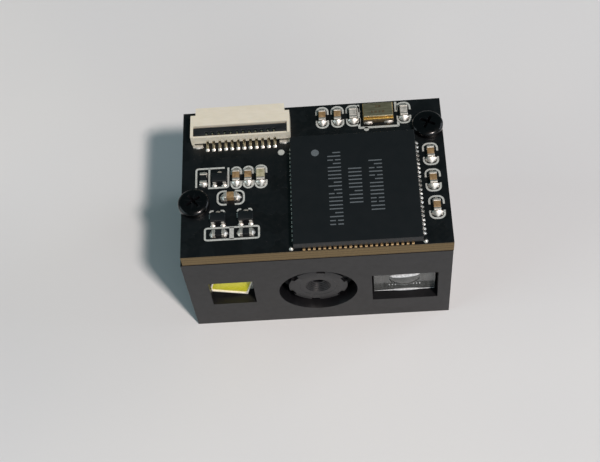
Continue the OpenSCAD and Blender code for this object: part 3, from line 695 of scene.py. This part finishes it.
def leadPart():
    # flat lead end with the solder that crept up and out from it
    p = processorLook
    half = p["leadWidth"] / 2
    lead = Collector("lead")
    lead.add(*blockShape((-half, 0, 0), (half, p["leadIn"] + p["leadOut"], p["leadHeight"])))
    mesh = meshFrom("lead", lead.points, lead.faces, None)
    piece = makeObject("lead", mesh)
    softEdges(piece, 0.03)
    return piece


def toePart():
    p = processorLook
    half = p["leadWidth"] / 2 + 0.01
    points, faces = heap(lambda u, v: u * half * (1 - 0.3 * v * v),
                         lambda u, v: p["leadOut"] - p["toe"] * v - 0.004,
                         lambda u, v: 0.002 + 0.12 * (1 - v) ** 1.4 * (1 - 0.3 * u * u), 6, 5)
    mesh = meshFrom("toe", points, faces, None)
    tidied(mesh, 60)
    mesh.transform(Matrix.Translation((0, -p["leadOut"] * mm, 0)))
    return makeObject("toe", mesh)


def makeProcessorLeads():
    p = processorLook
    low, high = boxOf("processor_leads")
    centre = (low + high) / 2
    half = (high.x - low.x) / 2
    start = (-(p["leads"] - 1) * p["pitch"] / 2, -half, 0)
    leadSides, toeSides = [], []
    for side in range(4):
        place = (Matrix.Translation(Vector((centre.x, centre.y, topZ)) * mm)
                 @ Matrix.Rotation(side * math.pi / 2, 4, "Z"))
        row = makeRow("leads", leadPart(), p["leads"], p["pitch"], start, mats["solder" if side else "gold"])
        row.data.transform(place)
        (toeSides if side else leadSides).append(row)
        if side in (0, 3):
            continue  # no room for solder in front, and next to none on the left
        row = makeRow("toes", toePart(), p["leads"], p["pitch"], start, mats["solder"])
        row.data.transform(place)
        toeSides.append(row)
    finished(joined("processorLeads", leadSides), "root", "gold", "processor_leads")
    finished(joined("processorSolder", toeSides), "root", "tin", "processor_leads")


# columns of plain bars in place of type printing; they spell nothing
markLook = {"columns": ((12.3, 1.55, 8.75), (13.9, 3.45, 6.85), (15.55, 2.7, 7.75)),
            "long": 1.05, "cell": 0.7, "apart": 0.34, "bar": 0.1, "seed": 5, "thick": 0.006, "dot": 0.315}


def makeProcessorMarks():
    look = markLook
    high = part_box("processor")[1].z / mm
    rng = random.Random(look["seed"])
    marks = Collector("processorMarks")
    for x, low, top in look["columns"]:
        for i in range(round((top - low) / look["cell"])):
            y = front + low + (i + 0.5) * look["cell"]
            for side in (-0.5, 0.5):
                # one long bar, or two short ones with a gap
                pieces = rng.choice((((0, 1.0),), ((0, 1.0),), ((-0.29, 0.42), (0.29, 0.42)), ((0.2, 0.6),)))
                for shift, part in pieces:
                    reach, middle = look["long"] * part / 2, left + x + shift * look["long"]
                    mid = y + side * look["apart"]
                    marks.add(*blockShape((middle - reach, mid - look["bar"] / 2, high - 0.001),
                                          (middle + reach, mid + look["bar"] / 2, high + look["thick"])))
    marks.add(*discShape(look["dot"], 0, look["thick"], 40), at(left + 10.81, front + 8.45, high))
    marks.build(mats["laser"], "package_epoxy")


makeProcessor()
makeProcessorLeads()
makeProcessorMarks()
print("processor made")


# ---- flat cable connector

def makeConnector():
    refined("connector_housing", "connectorHousing", mats["ivory"], "connector_ivory", 0.03, 2)
    refined("connector_lock", "connectorLock", mats["lock"], "connector_black", 0.035, 2, "cable_lock")
    refined("connector_tabs", "connectorTabs", mats["tin"], "tin", 0.03, 2)
    contacts = sorted(looseParts("connector_contacts"), key=lambda b: b[0].x)
    refined("connector_contacts", "connectorContacts", mats["contact"], "contact_bronze", 0.02, 2)
    # solder round each tail, as a row
    first = (contacts[0][0] + contacts[0][1]) / 2
    pitch = (contacts[1][0].x - contacts[0][0].x)
    half, run = 0.15, 0.2
    points, faces = heap(lambda u, v: u * half * (1 - 0.2 * v),
                         lambda u, v: -run * v,
                         lambda u, v: 0.002 + 0.13 * (1 - v) ** 1.3 * (1 - 0.5 * u * u), 8, 6)
    mesh = meshFrom("toe", points, faces, None)
    tidied(mesh, 60)
    toes = makeRow("tailSolder", makeObject("toe", mesh), len(contacts), pitch,
                   (first.x, contacts[0][0].y + 0.02, topZ), mats["solder"])
    finished(toes, "root", "tin")


makeConnector()
print("connector made")


# ---- chip parts, solder and screen printing

# node of the bodies, node of the ends, height of the solder, how far it runs out
chips = {"small": ("capacitor_bodies", "capacitor_ends", 0.34, 0.38),
         "large": ("large_capacitor", "large_capacitor_ends", 0.4, 0.38),
         "bead": ("bead_bodies", "bead_ends", 0.34, 0.38),
         "resistor": ("resistor_bodies", "resistor_ends", 0.26, 0.26)}


def chipPlaces():
    # kind, middle, turn, length and width of every chip part on top, read from its two ends
    places = []
    for kind, (bodies, ends, *_) in chips.items():
        caps = looseParts(ends)
        for low, high in looseParts(bodies):
            middle = (low + high) / 2
            near = sorted(caps, key=lambda box: ((box[0] + box[1]) / 2 - middle).length)[:2]
            size = [max(box[1][i] for box in near) - min(box[0][i] for box in near) for i in (0, 1)]
            upright = size[1] > size[0]
            places.append((kind, middle.x, middle.y, 0 if upright else -90, max(size), min(size)))
    return places


def makeAll(table, body="root"):
    # node, name of its piece, material, slot, edge width, edge segments
    for node, name, key, slotName, width, segments in table:
        refined(node, name, mats[key], slotName, width, segments, body)


def makeChipParts():
    makeAll((
        ("capacitor_bodies", "capacitorBodies", "brown", "brown_ceramic", 0.03, 2),
        ("capacitor_ends", "capacitorEnds", "tin", "tin", 0.06, 3),
        ("large_capacitor", "largeCapacitor", "pale", "pale_ceramic", 0.03, 2),
        ("large_capacitor_ends", "largeCapacitorEnds", "tin", "tin", 0.07, 3),
        ("bead_bodies", "beadBodies", "ferrite", "grey_ferrite", 0.04, 2),
        ("bead_ends", "beadEnds", "tin", "tin", 0.06, 3),
        ("resistor_bodies", "resistorBodies", "overcoat", "resistor_film", 0.02, 2),
        ("resistor_ends", "resistorEnds", "tin", "tin", 0.035, 2),
        ("transistor_bodies", "transistorBodies", "epoxy", "package_epoxy", 0.04, 2),
        ("transistor_leads", "transistorLeads", "tin", "tin", 0.02, 2),
        ("crystal_base", "crystalBase", "alumina", "dark_ceramic", 0.03, 2),
        ("crystal_ring", "crystalRing", "ring", "gold", 0.05, 3),
        ("crystal_lid", "crystalLid", "lid", "crystal_cap", 0.08, 3)))


printLook = {"line": 0.15, "corner": 0.2, "high": 0.014,
             # half widths of the brackets round the chip parts, and how far out they stand
             "left": (0.39, 1.0), "lying": (0.62, 1.05), "right": (0.56, 1.0), "rear": (0.465, 1.0),
             "bead": (0.52, 1.0), "large": (0.45, 1.05), "arch": 0.42, "arm": 0.3}


def bracketSize(kind, x, y, turn):
    if kind != "small":
        return printLook[kind]
    if turn:
        return printLook["lying"]
    if y > rear - 3.5:
        return printLook["rear"]
    return printLook["right" if x > right - 3.5 else "left"]


def solderAt(heaps, pads, x, y, turn, half, run, tall, inner):
    # a half-moon fillet that falls away from a chip's end, and the pad under it; +Y points outwards
    place = at(x, y, topZ, turn)
    heaps.add(*heap(lambda u, v: u * half * (1 - 0.5 * v ** 2.4),
                    lambda u, v: run * v * (1 - 0.3 * u * u) - 0.02,
                    lambda u, v: 0.012 + tall * (1 - v ** 1.3) * (1 - 0.45 * u * u), 14, 10), place)
    pads.add(*blockShape((-half * 0.86, -inner, 0), (half * 0.86, run * 0.5, 0.014)), place)


def makeSolder():
    heaps = Collector("chipSolder")
    pads = Collector("chipPads")
    for kind, x, y, base, length, width in chipPlaces():
        tall, run = chips[kind][2:]
        for side in (0, 180):
            turn = base + side
            reach = length / 2
            dx = -math.sin(math.radians(turn)) * reach
            dy = math.cos(math.radians(turn)) * reach
            half = width / 2 + 0.05
            if turn == 180 and kind != "resistor":
                half = max(half, bracketSize(kind, x, y, base)[0] - 0.1)  # more solder at the front ends
            solderAt(heaps, pads, x + dx, y + dy, turn, half, run, tall, 0.25)
    # feet of the three-legged packages
    for low, high in looseParts("transistor_leads"):
        middle = (low + high) / 2
        outward = 180 if any(abs(middle.y - (l.y - 0.14)) < 0.1 and l.x < middle.x < h.x
                             for l, h in looseParts("transistor_bodies")) else 0
        y = low.y if outward == 180 else high.y
        solderAt(heaps, pads, middle.x, y, outward, 0.2, 0.16, 0.12, 0.3)
    # pads of the crystal, at its four corners
    low, high = boxOf("crystal_base")
    for x in (low.x + 0.42, high.x - 0.42):
        solderAt(heaps, pads, x, low.y + 0.02, 180, 0.38, 0.2, 0.2, 0.3)
    # solder beside the connector's tabs
    for low, high in looseParts("connector_tabs"):
        half = (high.x - low.x) / 2
        solderAt(heaps, pads, low.x + half, low.y + 0.05, 180, half + 0.02, 0.16, 0.13, 0.2)
    # blobs at the front ends of the processor's side rows
    low, high = boxOf("processor_leads")
    for x in (low.x - 0.06, high.x + 0.06):
        heaps.add(*heap(lambda u, v: 0.2 * u * math.sin(math.pi * (0.12 + 0.76 * v)),
                        lambda u, v: 0.36 * (v - 0.5),
                        lambda u, v: 0.01 + 0.16 * math.sin(math.pi * v) * (1 - u * u), 10, 8),
                  at(x, front + 0.27, topZ))
    heaps.build(mats["solder"], "tin", sharp=50)
    pads.build(mats["solder"], "tin")


def ribbon(target, points, width, place, closed=False, corner=0.0, high=0.014):
    # flat line of ink through the points, corners rounded by the radius given
    path = []
    n = len(points)
    for i, p in enumerate(points):
        p = Vector(p)
        if corner and (closed or 0 < i < n - 1):
            before, after = Vector(points[i - 1]), Vector(points[(i + 1) % n])
            u, v = (before - p).normalized(), (after - p).normalized()
            reach = min(corner, (before - p).length / 2, (after - p).length / 2)
            for k in range(7):
                s = k / 6
                path.append(p + u * reach * (1 - s) ** 2 + v * reach * s ** 2)
        else:
            path.append(p)
    count = len(path)
    verts = []
    for i, p in enumerate(path):
        a = path[i - 1] if (i or closed) else p
        b = path[(i + 1) % count] if (i < count - 1 or closed) else p
        d1 = (p - a).normalized() if (p - a).length > 1e-6 else (b - p).normalized()
        d2 = (b - p).normalized() if (b - p).length > 1e-6 else d1
        t = (d1 + d2).normalized()
        normal = Vector((-t.y, t.x))
        scale = width / 2 / max(0.5, normal.dot(Vector((-d1.y, d1.x))))
        for side, z in ((-1, 0), (1, 0), (1, high), (-1, high)):
            q = p + normal * scale * side
            verts.append((q.x, q.y, z))
    faces = []
    for i in range(count if closed else count - 1):
        j = (i + 1) % count
        for k in range(4):
            m = (k + 1) % 4
            faces.append((4 * i + k, 4 * j + k, 4 * j + m, 4 * i + m))
    if not closed:
        faces.append((3, 2, 1, 0))
        end = 4 * (count - 1)
        faces.append((end, end + 1, end + 2, end + 3))
    target.add(verts, faces, place)


def bracket(ink, x, y, turn, half, reach):
    # arched bracket round one end of a chip part; +Y points outwards
    r = min(printLook["arch"], half)
    steps = [math.radians(a) for a in range(0, 91, 15)]
    side = [(half - r + r * math.cos(a), reach - r + r * math.sin(a)) for a in steps]
    path = [(half, reach - r - printLook["arm"])] + side
    ribbon(ink, path + [(-x, y) for x, y in reversed(path)], printLook["line"], at(x, y, topZ, turn))


def makePrinting():
    ink = Collector("screenPrinting")
    w, c = printLook["line"], printLook["corner"]
    for kind, x, y, base, *_ in chipPlaces():
        if kind == "resistor":
            continue
        half, reach = bracketSize(kind, x, y, base)
        for side in (0, 180):
            bracket(ink, x, y, base + side, half, reach)
    here = at(left, front, topZ)
    # box round the left resistor and the three-legged package, open at its lower left
    ribbon(ink, [(1.17, 6.36), (1.17, 8.12), (3.46, 8.12)], w, here, corner=c)
    ribbon(ink, [(3.76, 8.12), (3.76, 6.25), (2.13, 6.25)], w, here, corner=c)
    ribbon(ink, [(2.22, 8.1), (2.22, 6.3)], w, here)
    # boxes round the two front resistors, which share a line
    ribbon(ink, [(1.92, 1.45), (1.92, 2.52), (6.17, 2.52), (6.17, 1.45)], w, here, closed=True, corner=c)
    ribbon(ink, [(4.02, 1.45), (4.02, 2.52)], 0.34, here)
    # corner marks of the front three-legged packages
    for cx, cy in ((2.87, 4.1), (5.06, 4.12)):
        for side in (-1, 1):
            ribbon(ink, [(cx + side * 0.28, cy), (cx + side * 0.51, cy), (cx + side * 0.58, cy - 0.2)],
                   0.13, here, corner=0.08)
            ribbon(ink, [(cx + side * 0.6, cy - 0.3), (cx + side * 0.6, cy - 0.75)], 0.08, here)
    # frame of the crystal with its first-pin bump
    ribbon(ink, [(14.49, 13.5), (14.49, 11.19), (17.67, 11.19), (17.67, 11.6)], 0.19, here, corner=0.05)
    ribbon(ink, [(17.55, 12.6), (17.55, 13.58)], 0.19, here)
    ink.add(*discShape(0.2, 0, printLook["high"], 24), at(left + 15.06, front + 11.05, topZ))
    # round dot beside the first pin of the processor
    ink.add(*discShape(0.27, 0, printLook["high"], 32), at(left + 8.05, front + 9.27, topZ))
    ink.build(mats["ink"], "board_mask", sharp=60)


def makeCrystalMarks():
    low, high = boxOf("crystal_lid")
    cx, cy = (low.x + high.x) / 2, (low.y + high.y) / 2
    marks = Collector("crystalMarks")
    for row, cells in ((0.3, (-0.12, 0.14)), (-0.25, (-0.5, -0.2, 0.12, 0.42))):
        for i, x in enumerate(cells):
            wide = 0.2 if i % 2 else 0.14
            marks.add(*blockShape((cx + x - wide / 2, cy + row - 0.11, high.z - 0.001),
                                  (cx + x + wide / 2, cy + row + 0.11, high.z + 0.004)))
    marks.build(mats["alumina"], "crystal_cap")


makeChipParts()
makeSolder()
makePrinting()
makeCrystalMarks()
print("chip parts, solder and printing made")


# ---- lens column

barrelLook = {"notches": 6, "notchWidth": 0.7, "notchDepth": 0.3, "notchLength": 0.3, "ridges": 5}


def makeBarrel():
    low, high = boxOf("lens_barrel")
    centre = (low + high) / 2
    radius, length = (high.x - low.x) / 2, high.y - low.y
    bore = radius - 0.535
    # height runs back from the front face
    profile = [(bore, length), (radius - 0.12, length), (radius, length - 0.12)]
    pitch = 0.35
    z = length - 0.3
    while z > 1.2:
        profile += [(radius, z), (radius - 0.1, z - pitch / 2)]
        z -= pitch
    profile += [(radius, 1.1), (radius, 0.1), (radius - 0.03, 0.03), (radius - 0.1, 0.0)]
    # plain face, two shallow steps, then the cone down to the stop
    profile += [(1.5, 0.0), (1.48, 0.02), (1.12, 0.02), (1.06, 0.03)]
    for i in range(barrelLook["ridges"]):
        r = 1.03 - 0.48 * i / barrelLook["ridges"]
        h = 0.03 + 0.55 * i / barrelLook["ridges"]
        profile += [(r, h), (r - 0.02, h + 0.07)]
    profile += [(0.5, 0.6), (0.5, 0.8), (bore, 0.8)]
    mesh = lathe("lensBarrel", profile, mats["anodised"], 144)
    mesh.transform(lain(centre.x, low.y, centre.z))
    barrel = makeObject("lensBarrel", mesh)
    # notches for the focus key, cut from the rim
    count = barrelLook["notches"]
    for i in range(count):
        turn = Matrix.Rotation(math.radians(8 + i * 360 / count), 4, "Y")
        w, d, l = barrelLook["notchWidth"] / 2, barrelLook["notchDepth"], barrelLook["notchLength"]
        points, faces = blockShape((-w, -0.2, radius - d), (w, l, radius + 0.3))
        cutter = makeObject("notch", meshFrom("notch", points, faces, None, smooth=False))
        cutter.data.transform(Matrix.Translation(Vector((centre.x, low.y, centre.z)) * mm) @ turn)
        cut = barrel.modifiers.new("cut", "BOOLEAN")
        cut.operation = "DIFFERENCE"
        cut.solver = "EXACT"
        cut.object = cutter
        applied(barrel)
        bpy.data.objects.remove(cutter)
    barrel.data.materials.clear()
    barrel.data.materials.append(mats["anodised"])
    for face in barrel.data.polygons:
        face.material_index = 0
    softEdges(barrel, 0.02, 2, 40)
    finished(barrel, "focus_barrel", "lens_black", "lens_barrel")


def makeLensGlass():
    # two bulged discs, smooth enough to refract cleanly
    for node, name, ball in (("front_lens", "frontLens", 4.0), ("rear_lens", "rearLens", 5.0)):
        low, high = boxOf(node)
        centre = (low + high) / 2
        radius, length = (high.x - low.x) / 2, high.y - low.y
        profile = [(0.0, 0.0)]
        for i in range(1, 17):
            r = radius * i / 16
            profile.append((r, ball - math.sqrt(ball * ball - r * r)))
        profile += [(radius, length), (0.0, length)]
        mesh = lathe(name, profile, mats["glass"], 96, closed=False)
        mesh.transform(lain(centre.x, low.y, centre.z))
        finished(makeObject(name, mesh), "focus_glass", "lens_glass", node)


makeBarrel()
makeLensGlass()
refined("lens_holder", "lensHolder", mats["inner"], "inner_black", 0.05, 2)
refined("lens_retainer", "lensRetainer", mats["inner"], "inner_black", 0.04, 2, "focus_barrel")
refined("lens_spacer", "lensSpacer", mats["inner"], "inner_black", 0.04, 2, "focus_glass")
print("lens made")


# ---- lamp and aiming lens

lampLook = {"turn": 16.0, "gelWide": 2.95, "gelHigh": 2.4, "squareness": 14.0}


def makeLamp():
    refined("lamp_package", "lampPackage", mats["lampFrame"], "lamp_white", 0.05, 3)
    # gel fills the frame, crowned a little towards its middle
    low, high = boxOf("lamp_phosphor")
    centre = (low + high) / 2
    rings, around = 10, 96
    points, faces = [], []
    depth = high.y - low.y

    def outline(a):
        # oblong with small round corners, as a function of the angle
        c, s = math.cos(a), math.sin(a)
        k = lampLook["squareness"]
        r = (abs(c) ** k + abs(s) ** k) ** (-1 / k)
        return lampLook["gelWide"] / 2 * r * c, lampLook["gelHigh"] / 2 * r * s

    points.append((0, -depth * 0.9, 0))
    for ring in range(1, rings + 1):
        f = ring / rings
        for i in range(around):
            x, z = outline(2 * math.pi * i / around)
            points.append((x * f, -depth * (0.9 - 0.5 * f ** 6), z * f))
    for i in range(around):
        x, z = outline(2 * math.pi * i / around)
        points.append((x, depth * 0.0, z))
    for i in range(around):
        j = (i + 1) % around
        faces.append((0, 1 + i, 1 + j))
        for ring in range(rings):
            a = 1 + ring * around
            faces.append((a + i, a + around + i, a + around + j, a + j))
    last = 1 + rings * around
    faces.append(tuple(last + i for i in range(around)))
    mesh = meshFrom("lampPhosphor", points, faces, mats["phosphor"])
    tidied(mesh, 50)
    turn = Matrix.Rotation(math.radians(lampLook["turn"]), 4, "Y")
    mesh.transform(Matrix.Translation(Vector((centre.x, high.y, centre.z)) * mm) @ turn)
    finished(makeObject("lampPhosphor", mesh), "root", "phosphor", "lamp_phosphor")


aimLook = {"domeRadius": 1.25, "domeHeight": 0.35, "flangeThick": 0.7,
           # ridges in painted highlight white, whose round backs also catch the light: middle x, z from the
           # lens's middle, half length, thickness, slant
           "ridges": ((0.0, 0.88, 1.2, 0.2, 5.0), (0.15, -1.93, 1.2, 0.12, 0.0),
                      (0.0, -1.96, 2.5, 0.055, 0.0)),
           # row of painted highlight dots under the dome: count, pitch, radius, height from the lens's middle
           "glintDots": 11, "glintDotPitch": 0.25, "glintDotRadius": 0.055, "glintDotZ": -0.98}


def makeAimingLens():
    # one closed skin: a face with a dome, the block's sides, the flange behind
    low, high = boxOf("aiming_lens")
    cx, cz = (low.x + high.x) / 2, (low.z + high.z) / 2
    faceY = low.y + aimLook["domeHeight"]
    halfW = (high.x - low.x) / 2
    halfH = (high.z - low.z) / 2 - 0.575
    flangeH = (high.z - low.z) / 2
    r, h = aimLook["domeRadius"], aimLook["domeHeight"]
    ball = (r * r + h * h) / (2 * h)
    work = bmesh.new()
    around, rings = 96, 20

    def put(x, y, z):
        return work.verts.new(Vector((x, y, z)) * mm)

    def oblong(y, half):
        corners = ((-1, -1), (1, -1), (1, 1), (-1, 1))
        return [put(cx + sx * halfW, y, cz + sz * half) for sx, sz in corners]

    top = put(cx, faceY - h, cz)
    circles = []
    for ring in range(1, rings + 1):
        rr = r * ring / rings
        y = faceY - h + ball - math.sqrt(ball * ball - rr * rr)
        circle = []
        for i in range(around):
            angle = 2 * math.pi * i / around
            circle.append(put(cx + rr * math.cos(angle), y, cz + rr * math.sin(angle)))
        circles.append(circle)
    for i in range(around):
        j = (i + 1) % around
        work.faces.new((top, circles[0][i], circles[0][j]))
        for a, b in zip(circles, circles[1:]):
            work.faces.new((a[i], b[i], b[j], a[j]))
    frontRim = oblong(faceY, halfH)
    quarter = around // 4
    outer = circles[-1]
    for k in range(4):
        # fan from each corner to its quarter of the circle
        corner = frontRim[k]
        startIndex = (around * (k + 2) // 4) % around
        for i in range(quarter):
            a = outer[(startIndex + i) % around]
            b = outer[(startIndex + i + 1) % around]
            work.faces.new((corner, a, b))
        nextCorner = frontRim[(k + 1) % 4]
        shared = outer[(startIndex + quarter) % around]
        work.faces.new((corner, shared, nextCorner))
    backY = high.y
    wallY = high.y - aimLook["flangeThick"]
    mid, wide, back = oblong(wallY, halfH), oblong(wallY, flangeH), oblong(backY, flangeH)
    for k in range(4):
        n = (k + 1) % 4
        work.faces.new((frontRim[k], mid[k], mid[n], frontRim[n]))
        if k in (0, 2):
            work.faces.new((mid[k], wide[k], wide[n], mid[n]))
    for a, b in ((0, 3), (1, 2)):
        work.faces.new((mid[a], wide[a], back[a], back[b], wide[b], mid[b]))
    work.faces.new((wide[0], back[0], back[1], wide[1]))
    work.faces.new((wide[2], back[2], back[3], wide[3]))
    work.faces.new(back)
    bmesh.ops.recalc_face_normals(work, faces=work.faces)
    mesh = bpy.data.meshes.new("aimingLens")
    work.to_mesh(mesh)
    work.free()
    mesh.materials.append(mats["clear"])
    mesh.shade_smooth()
    mesh.set_sharp_from_angle(angle=math.radians(20))
    piece = makeObject("aimingLens", mesh)
    softEdges(piece, 0.05, 2, 45)
    finished(piece, "root", "clear_plastic", "aiming_lens")


def ridgeShape(half, thick, across=12, along=28):
    # a rounded ridge along X that fades out at both ends, its back on the XZ plane
    points, faces = [], []
    for j in range(along + 1):
        t = 2 * j / along - 1
        r = thick * max(0.04, (1 - t * t)) ** 0.5
        for i in range(across):
            a = 2 * math.pi * i / across
            points.append((half * t, -r * math.cos(a), r * math.sin(a)))
    for j in range(along):
        for i in range(across):
            n = (i + 1) % across
            faces.append((j * across + i, j * across + n, (j + 1) * across + n, (j + 1) * across + i))
    faces.append(tuple(range(across)))
    faces.append(tuple(reversed(range(along * across, (along + 1) * across))))
    return points, faces


def makeAimingRidges():
    look = aimLook
    low, high = boxOf("aiming_lens")
    cx, cz = (low.x + high.x) / 2, (low.z + high.z) / 2
    faceY = low.y + look["domeHeight"]
    r, h = look["domeRadius"], look["domeHeight"]
    ball = (r * r + h * h) / (2 * h)
    # white ridges: painted highlights for the streak across the dome and the lit lower edge of the lens,
    # shaped so they also catch the light
    ridges = Collector("aimingLensRidges")
    for x, z, half, thick, slant in look["ridges"]:
        out = max(0.0, math.sqrt(ball * ball - z * z) - ball + h)
        lean = Matrix.Rotation(math.radians(-slant), 4, "Y")
        place = Matrix.Translation((cx + x, faceY - out, cz + z)) @ lean
        ridges.add(*ridgeShape(half, thick), place)
    ridges.build(mats["paintedGlintWhite"], "clear_plastic", sharp=80)
    # a row of white dots under the dome: painted highlights for the glints along the dome's lower rim
    sides = [(math.cos(a), math.sin(a)) for a in (-0.9, -0.3, 0.3, 0.9)]
    ball = lathe("pip", [(0.0, -1.0)] + sides + [(0.0, 1.0)], None, 8, closed=False)
    ball.transform(Matrix.Scale(look["glintDotRadius"], 4))
    start = (cx - (look["glintDots"] - 1) * look["glintDotPitch"] / 2, faceY - 0.01, cz + look["glintDotZ"])
    row = makeRow("aimingLensPips", makeObject("pip", ball), look["glintDots"], look["glintDotPitch"], start,
                  mats["paintedGlintWhite"])
    finished(row, "root", "clear_plastic")


makeLamp()
makeAimingLens()
makeAimingRidges()
print("lamp and aiming lens made")


# ---- pieces inside, and under the board

def makeInside():
    makeAll((
        ("aiming_tunnel", "aimingTunnel", "inner", "inner_black", 0.05, 2),
        ("aiming_led", "aimingLamp", "lampFrame", "lamp_white", 0.04, 2),
        ("image_sensor", "imageSensor", "sensor", "sensor_package", 0.03, 2),
        ("sensor_cover_glass", "sensorCoverGlass", "glass", "lens_glass", 0.02, 2),
        ("ir_filter", "infraredFilter", "filter", "filter_glass", 0.02, 2),
        ("sensor_board", "sensorBoard", "green", "green_board", 0.04, 2),
        ("sensor_screws", "sensorScrews", "zinc", "plain_screw", 0.03, 2),
        ("sensor_socket", "sensorSocket", "ivory", "connector_ivory", 0.06, 2),
        ("board_socket", "boardSocket", "ivory", "connector_ivory", 0.06, 2),
        ("sensor_flex", "sensorFlex", "amber", "polyimide", 0.02, 2),
        ("lamp_board", "lampBoard", "white", "white_board", 0.04, 2),
        ("lamp_pins", "lampPins", "gold", "gold", 0.04, 2),
        ("memory_chip", "memoryChip", "epoxy", "package_epoxy", 0.04, 2),
        ("memory_pads", "memoryPads", "tin", "tin", 0.01, 2),
        ("regulator", "regulatorPackage", "epoxy", "package_epoxy", 0.04, 2),
        ("regulator_leads", "regulatorLeads", "tin", "tin", 0.02, 2),
        ("underside_capacitors", "undersideCapacitors", "brown", "brown_ceramic", 0.03, 2),
        ("underside_capacitor_ends", "undersideCapacitorEnds", "tin", "tin", 0.05, 2)))


makeInside()
print("inside made")


# ---- floor, light and camera

stageLook = {"floor": "#dcdee0", "floorSize": 900.0}


def makeStage():
    size = stageLook["floorSize"] / 2
    mesh = meshFrom("floor", [(-size, -size, 0), (size, -size, 0), (size, size, 0), (-size, size, 0)],
                    [(0, 1, 2, 3)], None, smooth=False)
    floor = makeObject("floor", mesh)
    # pale matt card
    mat, t, s, p = newMaterial("paleCard", stageLook["floor"], 0.7)
    t.links.new(ramp(t, grain(t, p, 40.0, 2.0), "#d9dbde", "#dfe0e1"), s.inputs["Base Color"])
    relief(t, s, grain(t, p, 0.5, 3.0), 0.02, 0.4)
    mesh.materials.append(mat)


cameraLook = {"position": (3.17, -52.93, 93.76), "aim": (-1.13, -5.03, 11.65), "roll": -7.8, "lens": 73.37}


def makeCamera():
    data = bpy.data.cameras.new("camera")
    data.lens = cameraLook["lens"]
    data.sensor_width = 36.0
    data.clip_start = 0.002
    data.clip_end = 10.0
    camera = bpy.data.objects.new("camera", data)
    bpy.context.scene.collection.objects.link(camera)
    position = Vector(cameraLook["position"]) * mm
    forward = (Vector(cameraLook["aim"]) * mm - position).normalized()
    turn = forward.to_track_quat("-Z", "Y").to_matrix().to_4x4()
    camera.matrix_world = (Matrix.Translation(position) @ turn
                           @ Matrix.Rotation(math.radians(cameraLook["roll"]), 4, "Z"))
    bpy.context.scene.camera = camera


lightLook = {
    # place and aim in millimetres, width, height, watts, colour
    "keyPanel": ((332, -414, 752), (0, 0, 6), 80, 80, 6.85, "#fff1ea"),
    "leftPanel": ((-290, -60, 130), (0, 0, 6), 260, 160, 0.25, "#e0f2f8"),
    "frontPanel": ((130, -290, 150), (0, 0, 6), 300, 230, 0.2, "#eef6ff"),
    "rightPanel": ((290, 60, 120), (0, 0, 6), 200, 140, 0.24, "#eef4ff"),
}
roomLook = {"colour": "#a2cdd0", "strength": 0.155}


def makeLights():
    for name, (place, target, width, height, watts, colour) in lightLook.items():
        data = bpy.data.lights.new(name, "AREA")
        data.shape = "RECTANGLE"
        data.size = width * mm
        data.size_y = height * mm
        data.energy = watts
        data.color = fromHex(colour)[:3]
        lamp = bpy.data.objects.new(name, data)
        bpy.context.scene.collection.objects.link(lamp)
        lamp.visible_camera = False
        position = Vector(place) * mm
        forward = (Vector(target) * mm - position).normalized()
        turn = forward.to_track_quat("-Z", "Y").to_matrix().to_4x4()
        lamp.matrix_world = Matrix.Translation(position) @ turn
    world = bpy.data.worlds.new("studio")
    bpy.context.scene.world = world
    world.use_nodes = True
    sky = world.node_tree.nodes["Background"]
    sky.inputs["Color"].default_value = fromHex(roomLook["colour"])
    sky.inputs["Strength"].default_value = roomLook["strength"]


makeStage()
makeCamera()
makeLights()
bpy.context.scene.view_settings.view_transform = "Standard"
print("stage, camera and light made")
